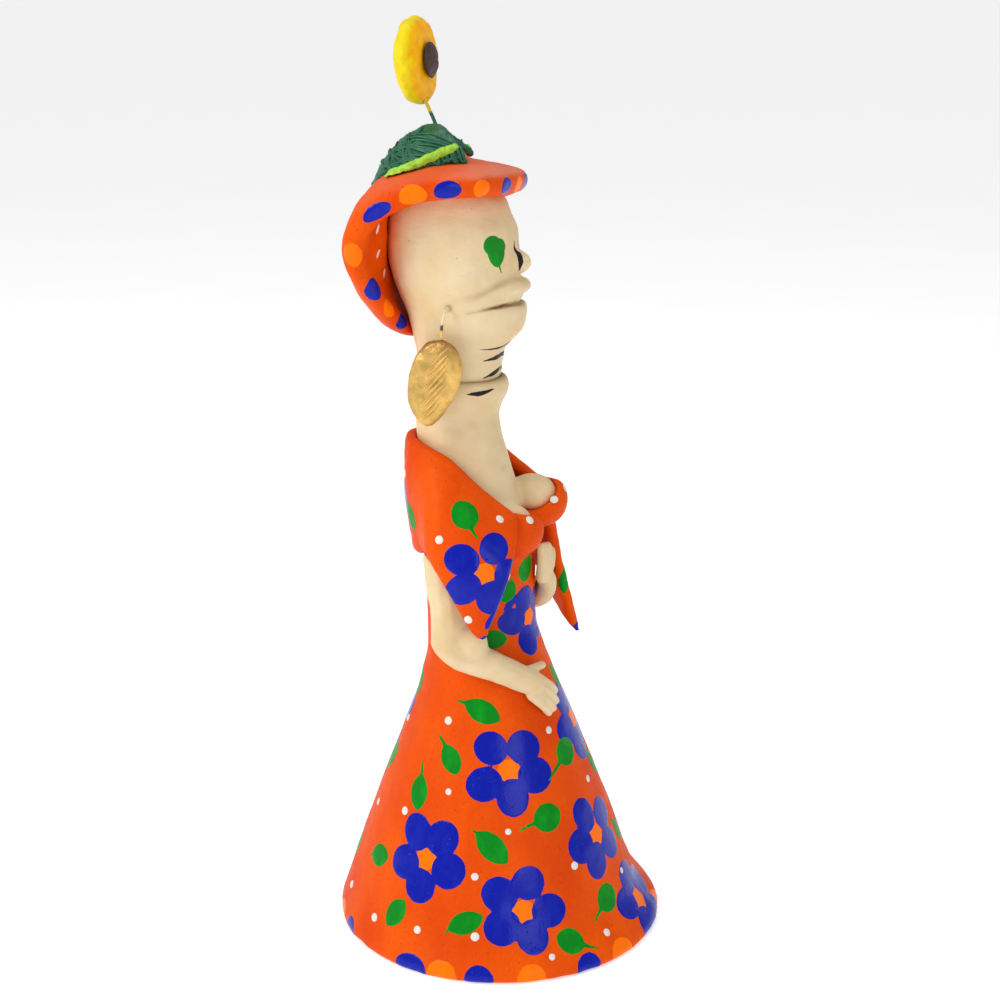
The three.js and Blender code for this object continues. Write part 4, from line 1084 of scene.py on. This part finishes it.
def rib_line(node, count):
    """Middle line of a rib node, from the feather's base at the back to its tip, in mm."""
    points = points_of(joined_mesh("rib_copy", [node]))
    order = -points[:, 1] + 0.4 * points[:, 2]
    ends = np.linspace(order.min(), order.max(), count + 1)
    slices = [points[(order >= a) & (order <= b)] for a, b in zip(ends[:-1], ends[1:])]
    return np.array([s.mean(0) for s in slices if len(s)])


def barb(tree, start, across, along, reach, radius, lean):
    """One barb marched over the vane's surface until it leaves it, thin at its free end."""
    place = Vector(start)
    heading = (Vector(across) + Vector(along) * lean).normalized()
    step = reach / 9
    chain = []
    for k in range(10):
        spot, normal, _, away = tree.find_nearest(place)
        if k > 2 and away > 0.9:
            break
        chain.append((spot + normal * 0.12, radius * (1 - 0.055 * k)))
        heading = (heading - normal * heading.dot(normal) + Vector(along) * 0.02).normalized()
        place = spot + heading * step
    return chain if len(chain) > 2 else None


def barb_chains(vane, node, side):
    """Barbs on both sides of the rib: fine and leaning above it, coarse and curved below it."""
    line = rib_line(node, 14)
    tree = tree_of(vane.data)
    random = np.random.default_rng(SEED)
    chains = []
    total = sizes().barbs
    for flank, lean, reach, share in ((1, -0.75, 13.0, 0.85), (-1, -0.25, 9.0, 1.15)):
        for t in np.linspace(-0.12, 1.04, total) + random.uniform(-0.008, 0.008, total):
            at = np.clip(t, 0, 1) * (len(line) - 1)
            i = min(int(at), len(line) - 2)
            along = (line[i + 1] - line[i]) / np.linalg.norm(line[i + 1] - line[i])
            start = line[i] + (line[i + 1] - line[i]) * (at - i) + along * (t - np.clip(t, 0, 1)) * 30
            _, normal, _, _ = tree.find_nearest(Vector(start))
            across = Vector(along).cross(normal) * side * flank
            radius = share * sizes().barb_radius / MM * random.uniform(0.8, 1.2)
            chain = barb(tree, start, across, along, reach, radius, lean + random.uniform(-0.1, 0.1))
            if chain:
                chains.append(chain)
    return chains


class CATRINA_OT_feathers(bpy.types.Operator):
    """Lays the two feathers over the crown: vane, barbs and lime rib"""

    bl_idname = "catrina.feathers"
    bl_label = "Feathers"

    def execute(self, context):
        green = barb_finish()
        lime = rib_finish()
        tree = strand_tree()
        for side, name in ((-1, "right"), (1, "left")):
            vane = modelled(f"{name}_vane", [f"{name}_feather"], 0.3, 12, firm=0.05)
            knead(vane.data, 0.3, 2.4, 7)
            vane.data.materials.append(green)
            chains = barb_chains(vane, f"{name}_feather_rib", side)
            barbs = grown(f"{name}_barbs", chains_mesh(f"{name}_chains", chains), tree, Sides=8, Finish=green)
            rib = modelled(f"{name}_rib", [f"{name}_feather_rib"], 0.16, 6, firm=0.1)
            knead(rib.data, 0.32, 1.3, 8)
            rib.data.materials.append(lime)
            hand_over(vane, "figure", "feather_paint", f"{name}_feather")
            hand_over(barbs, "figure", "feather_paint")
            hand_over(rib, "figure", "rib_paint", f"{name}_feather_rib")
        return {"FINISHED"}


# ------------------------------------------------------------------ flower and earrings

STEM_YELLOW_FROM = 194.2  # mm up
# How far down from the top of an earring's wire the cream ends and the gold starts, in mm.
HOOK_CREAM_END = 3.6
HOOK_GOLD_START = 4.9

class CATRINA_OT_flower(bpy.types.Operator):
    """Models the domed flower, its middle and its wire stem"""

    bl_idname = "catrina.flower"
    bl_label = "Flower"

    def execute(self, context):
        c = colours()
        disc = modelled("flower_disc", ["flower_petals"], 0.3, 40, firm=0.03)
        knead(disc.data, 0.35, 4, 9)
        normals = normals_of(disc.data)
        write_layer(disc.data, "face", np.clip((-normals[:, 1] - 0.6) / 0.2, 0, 1))
        disc.data.materials.append(flower_finish())
        hand_over(disc, "flower", "petal_paint", "flower_petals")
        middle = modelled("flower_middle", ["flower_centre"], 0.2, 12, firm=0.05)
        knead(middle.data, 0.2, 1.5, 10)
        seed = plain_finish("seed_brown", c.seed, scaled(c.seed, 0.5), 1.5, 0.12, 0.5)
        middle.data.materials.append(seed)
        hand_over(middle, "flower", "seed_paint", "flower_centre")
        stem = modelled("stem_wire", ["flower_stem"], 0.12, 8, firm=0.2)
        high = points_of(stem.data)[:, 2]
        write_layer(stem.data, "high", np.clip((high - STEM_YELLOW_FROM) / 0.6, 0, 1))
        stem.data.materials.append(stem_finish())
        hand_over(stem, "flower", "wire", "flower_stem")
        return {"FINISHED"}


def ridge_chains(side):
    """Slanting ridges laid on both faces of an earring."""
    low, high = [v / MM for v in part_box(f"{side}_earring_disc")]
    middle = (low + high) / 2
    tree = tree_of(joined_mesh("disc_copy", [f"{side}_earring_disc"]))
    radius = sizes().ridge_radius / MM
    chains = []
    for face in (-1, 1):
        for k in range(8):
            up = middle.z - 6 + 1.75 * k
            forward = middle.y - 0.5 - 0.25 * (k - 3)
            chain = []
            for t in np.linspace(-1, 1, 9):
                reach = 3.1 - 0.22 * abs(k - 3.5)
                aim = Vector((middle.x + face * 6, forward - t * reach, up + t * reach * 1.05))
                spot = tree.ray_cast(aim, Vector((-face, 0, 0)))[0]
                if spot:
                    chain.append((spot, radius * (1.05 - 0.75 * t * t)))
            if len(chain) > 3:
                chains.append(chain)
    return chains


class CATRINA_OT_earrings(bpy.types.Operator):
    """Models the gold earrings with their ridges and wire hooks"""

    bl_idname = "catrina.earrings"
    bl_label = "Earrings"

    def execute(self, context):
        gold = gold_finish()
        hook_paint = hook_finish()
        tree = strand_tree()
        for side in ("right", "left"):
            body = f"{side}_earring"
            disc_top = (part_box(f"{body}_disc")[1] / MM).z
            disc = modelled(f"{body}_pebble", [f"{body}_disc"], 0.22, 14, firm=0.03)
            knead(disc.data, 0.22, 3, 12)
            points = points_of(disc.data)
            write_layer(disc.data, "tarnish", 0.75 * np.clip((points[:, 2] - disc_top + 3.4) / 3.2, 0, 1))
            disc.data.materials.append(gold)
            chains = chains_mesh(f"{body}_chains", ridge_chains(side))
            ridges = grown(f"{body}_ridges", chains, tree, Sides=8, Finish=gold)
            write_layer(ridges.data, "tarnish", np.zeros(len(ridges.data.vertices)))
            hook = modelled(f"{body}_hook", [f"{body}_wire"], 0.12, 8, firm=0.2)
            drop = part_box(f"{body}_wire")[1].z / MM - points_of(hook.data)[:, 2]
            write_layer(hook.data, "bare", np.clip((drop - HOOK_CREAM_END) / 0.4, 0, 1))
            write_layer(hook.data, "gilded", np.clip((drop - HOOK_GOLD_START) / 0.4, 0, 1))
            hook.data.materials.append(hook_paint)
            hand_over(disc, body, "gold_paint", f"{body}_disc")
            hand_over(ridges, body, "gold_paint")
            hand_over(hook, body, "wire", f"{body}_wire")
        return {"FINISHED"}


class CATRINA_OT_armature(bpy.types.Operator):
    """Gives the card core and the inner wires their finishes"""

    bl_idname = "catrina.armature"
    bl_label = "Core and Wires"

    def execute(self, context):
        card = plain_finish("rolled_card", linear(176, 148, 108), linear(146, 116, 78), 6, 0.08, 0.85)
        grey, rust = linear(120, 116, 112), linear(82, 66, 56)
        steel = plain_finish("iron_wire", grey, rust, 2, 0.03, 0.45, Metallic=0.9)
        finishes = {"skirt_core": card, "spine_wire": steel, "right_arm_wire": steel, "left_arm_wire": steel}
        for node, finish in finishes.items():
            mesh = NODES[node]
            if not mesh.material_slots:
                mesh.data.materials.append(finish)
            for slot in mesh.material_slots:
                slot.material = finish
        return {"FINISHED"}


# ------------------------------------------------------------------ stage

CAMERA_AZIMUTH = -72  # degrees from her front, towards her right side
CAMERA_DISTANCE = 0.410
CAMERA_HEIGHT = 0.2234
CAMERA_PITCH = 16.09  # degrees down from level
CAMERA_LENS = 65.2
CAMERA_SENSOR = 36
BACKDROP_LIGHT = 0.5
BACKDROP_SEEN = 0.92
FLOOR_REACH = 60.0  # metres from the middle to a side
LIGHTS_AIM = Vector((0, 0.005, 0.11))
# Area lights: name, place, size, power.
LIGHTS = [
    ("key", (-0.50, 0.50, 0.62), 0.45, 4.1),
    ("fill", (-0.75, -0.75, 0.40), 0.5, 1.6),
    ("top", (0.05, -0.05, 0.95), 0.6, 2.0),
]


def add_camera(scene):
    """A camera that looks slightly down at her right side."""
    camera = bpy.data.objects.new("camera", bpy.data.cameras.new("camera"))
    scene.collection.objects.link(camera)
    turn, down = math.radians(CAMERA_AZIMUTH), math.radians(CAMERA_PITCH)
    out = Vector((math.sin(turn), -math.cos(turn), 0))
    camera.location = out * CAMERA_DISTANCE + Vector((0, 0, CAMERA_HEIGHT))
    forward = -out * math.cos(down) + Vector((0, 0, -math.sin(down)))
    camera.rotation_euler = forward.to_track_quat("-Z", "Y").to_euler()
    camera.data.lens = CAMERA_LENS
    camera.data.sensor_width = CAMERA_SENSOR
    camera.data.clip_start = 0.01
    camera.data.clip_end = 200
    scene.camera = camera


def add_light(scene, name, place, size, power):
    """A square lamp aimed at the middle of the figure."""
    lamp = bpy.data.lights.new(name, "AREA")
    lamp.size = size
    lamp.energy = power
    light = bpy.data.objects.new(name, lamp)
    scene.collection.objects.link(light)
    light.location = place
    aim = LIGHTS_AIM - Vector(place)
    light.rotation_euler = aim.to_track_quat("-Z", "Y").to_euler()


def add_floor():
    """A wide pale floor, which is no piece of the figure."""
    bm = bmesh.new()
    bmesh.ops.create_grid(bm, x_segments=1, y_segments=1, size=FLOOR_REACH)
    mesh = bpy.data.meshes.new("floor")
    bm.to_mesh(mesh)
    bm.free()
    floor = add_object("floor", mesh)
    pale = (0.86, 0.86, 0.86)
    glow = {"Emission_Color": (1, 1, 1, 1), "Emission_Strength": 0.45}
    mesh.materials.append(plain_finish("floor_pale", pale, scaled(pale, 0.98), 60, 0.02, 0.7, **glow))


def add_world(scene):
    """A white backdrop that lights the figure less than it is bright to the camera."""
    world = bpy.data.worlds.new("studio")
    world.use_nodes = True
    tree = world.node_tree
    backdrop = tree.nodes["Background"]
    backdrop.inputs["Color"].default_value = (1, 1, 1, 1)
    seen = add_node(tree, "ShaderNodeLightPath").outputs["Is Camera Ray"]
    strength = add_node(tree, "ShaderNodeMix", {0: seen, 2: BACKDROP_LIGHT, 3: BACKDROP_SEEN})
    tree.links.new(strength.outputs[0], backdrop.inputs["Strength"])
    scene.world = world


class CATRINA_OT_stage(bpy.types.Operator):
    """Sets the camera, soft lights and a pale floor"""

    bl_idname = "catrina.stage"
    bl_label = "Stage"

    def execute(self, context):
        scene = context.scene
        add_camera(scene)
        for row in LIGHTS:
            add_light(scene, *row)
        add_floor()
        add_world(scene)
        scene.view_settings.view_transform = "Standard"
        return {"FINISHED"}


# ------------------------------------------------------------------ add-on

OPERATORS = (
    CATRINA_OT_stage, CATRINA_OT_dress, CATRINA_OT_shawl, CATRINA_OT_dots, CATRINA_OT_neck,
    CATRINA_OT_skull, CATRINA_OT_arms, CATRINA_OT_hat, CATRINA_OT_feathers, CATRINA_OT_flower,
    CATRINA_OT_earrings, CATRINA_OT_armature,
)


class CATRINA_PT_panel(bpy.types.Panel):
    """Lists the figure's pieces in the order they are made"""

    bl_label = "Catrina Figure"
    bl_idname = "CATRINA_PT_panel"
    bl_space_type = "VIEW_3D"
    bl_region_type = "UI"
    bl_category = "Catrina"

    def draw(self, context):
        for operator in OPERATORS:
            self.layout.operator(operator.bl_idname)
        for group in (context.scene.catrina_colours, context.scene.catrina_sizes):
            for key in group.__annotations__:
                self.layout.prop(group, key)


CLASSES = (CatrinaColours, CatrinaSizes, *OPERATORS, CATRINA_PT_panel)


def register():
    """Adds the operators, the settings and the panel to Blender."""
    for cls in CLASSES:
        bpy.utils.register_class(cls)
    bpy.types.Scene.catrina_colours = PointerProperty(type=CatrinaColours)
    bpy.types.Scene.catrina_sizes = PointerProperty(type=CatrinaSizes)


def unregister():
    """Takes away what `register` adds."""
    del bpy.types.Scene.catrina_sizes
    del bpy.types.Scene.catrina_colours
    for cls in reversed(CLASSES):
        bpy.utils.unregister_class(cls)


def main():
    """Makes every piece in turn."""
    register()
    for operator in OPERATORS:
        group, name = operator.bl_idname.split(".")
        getattr(getattr(bpy.ops, group), name)()


if __name__ == "__main__":
    main()
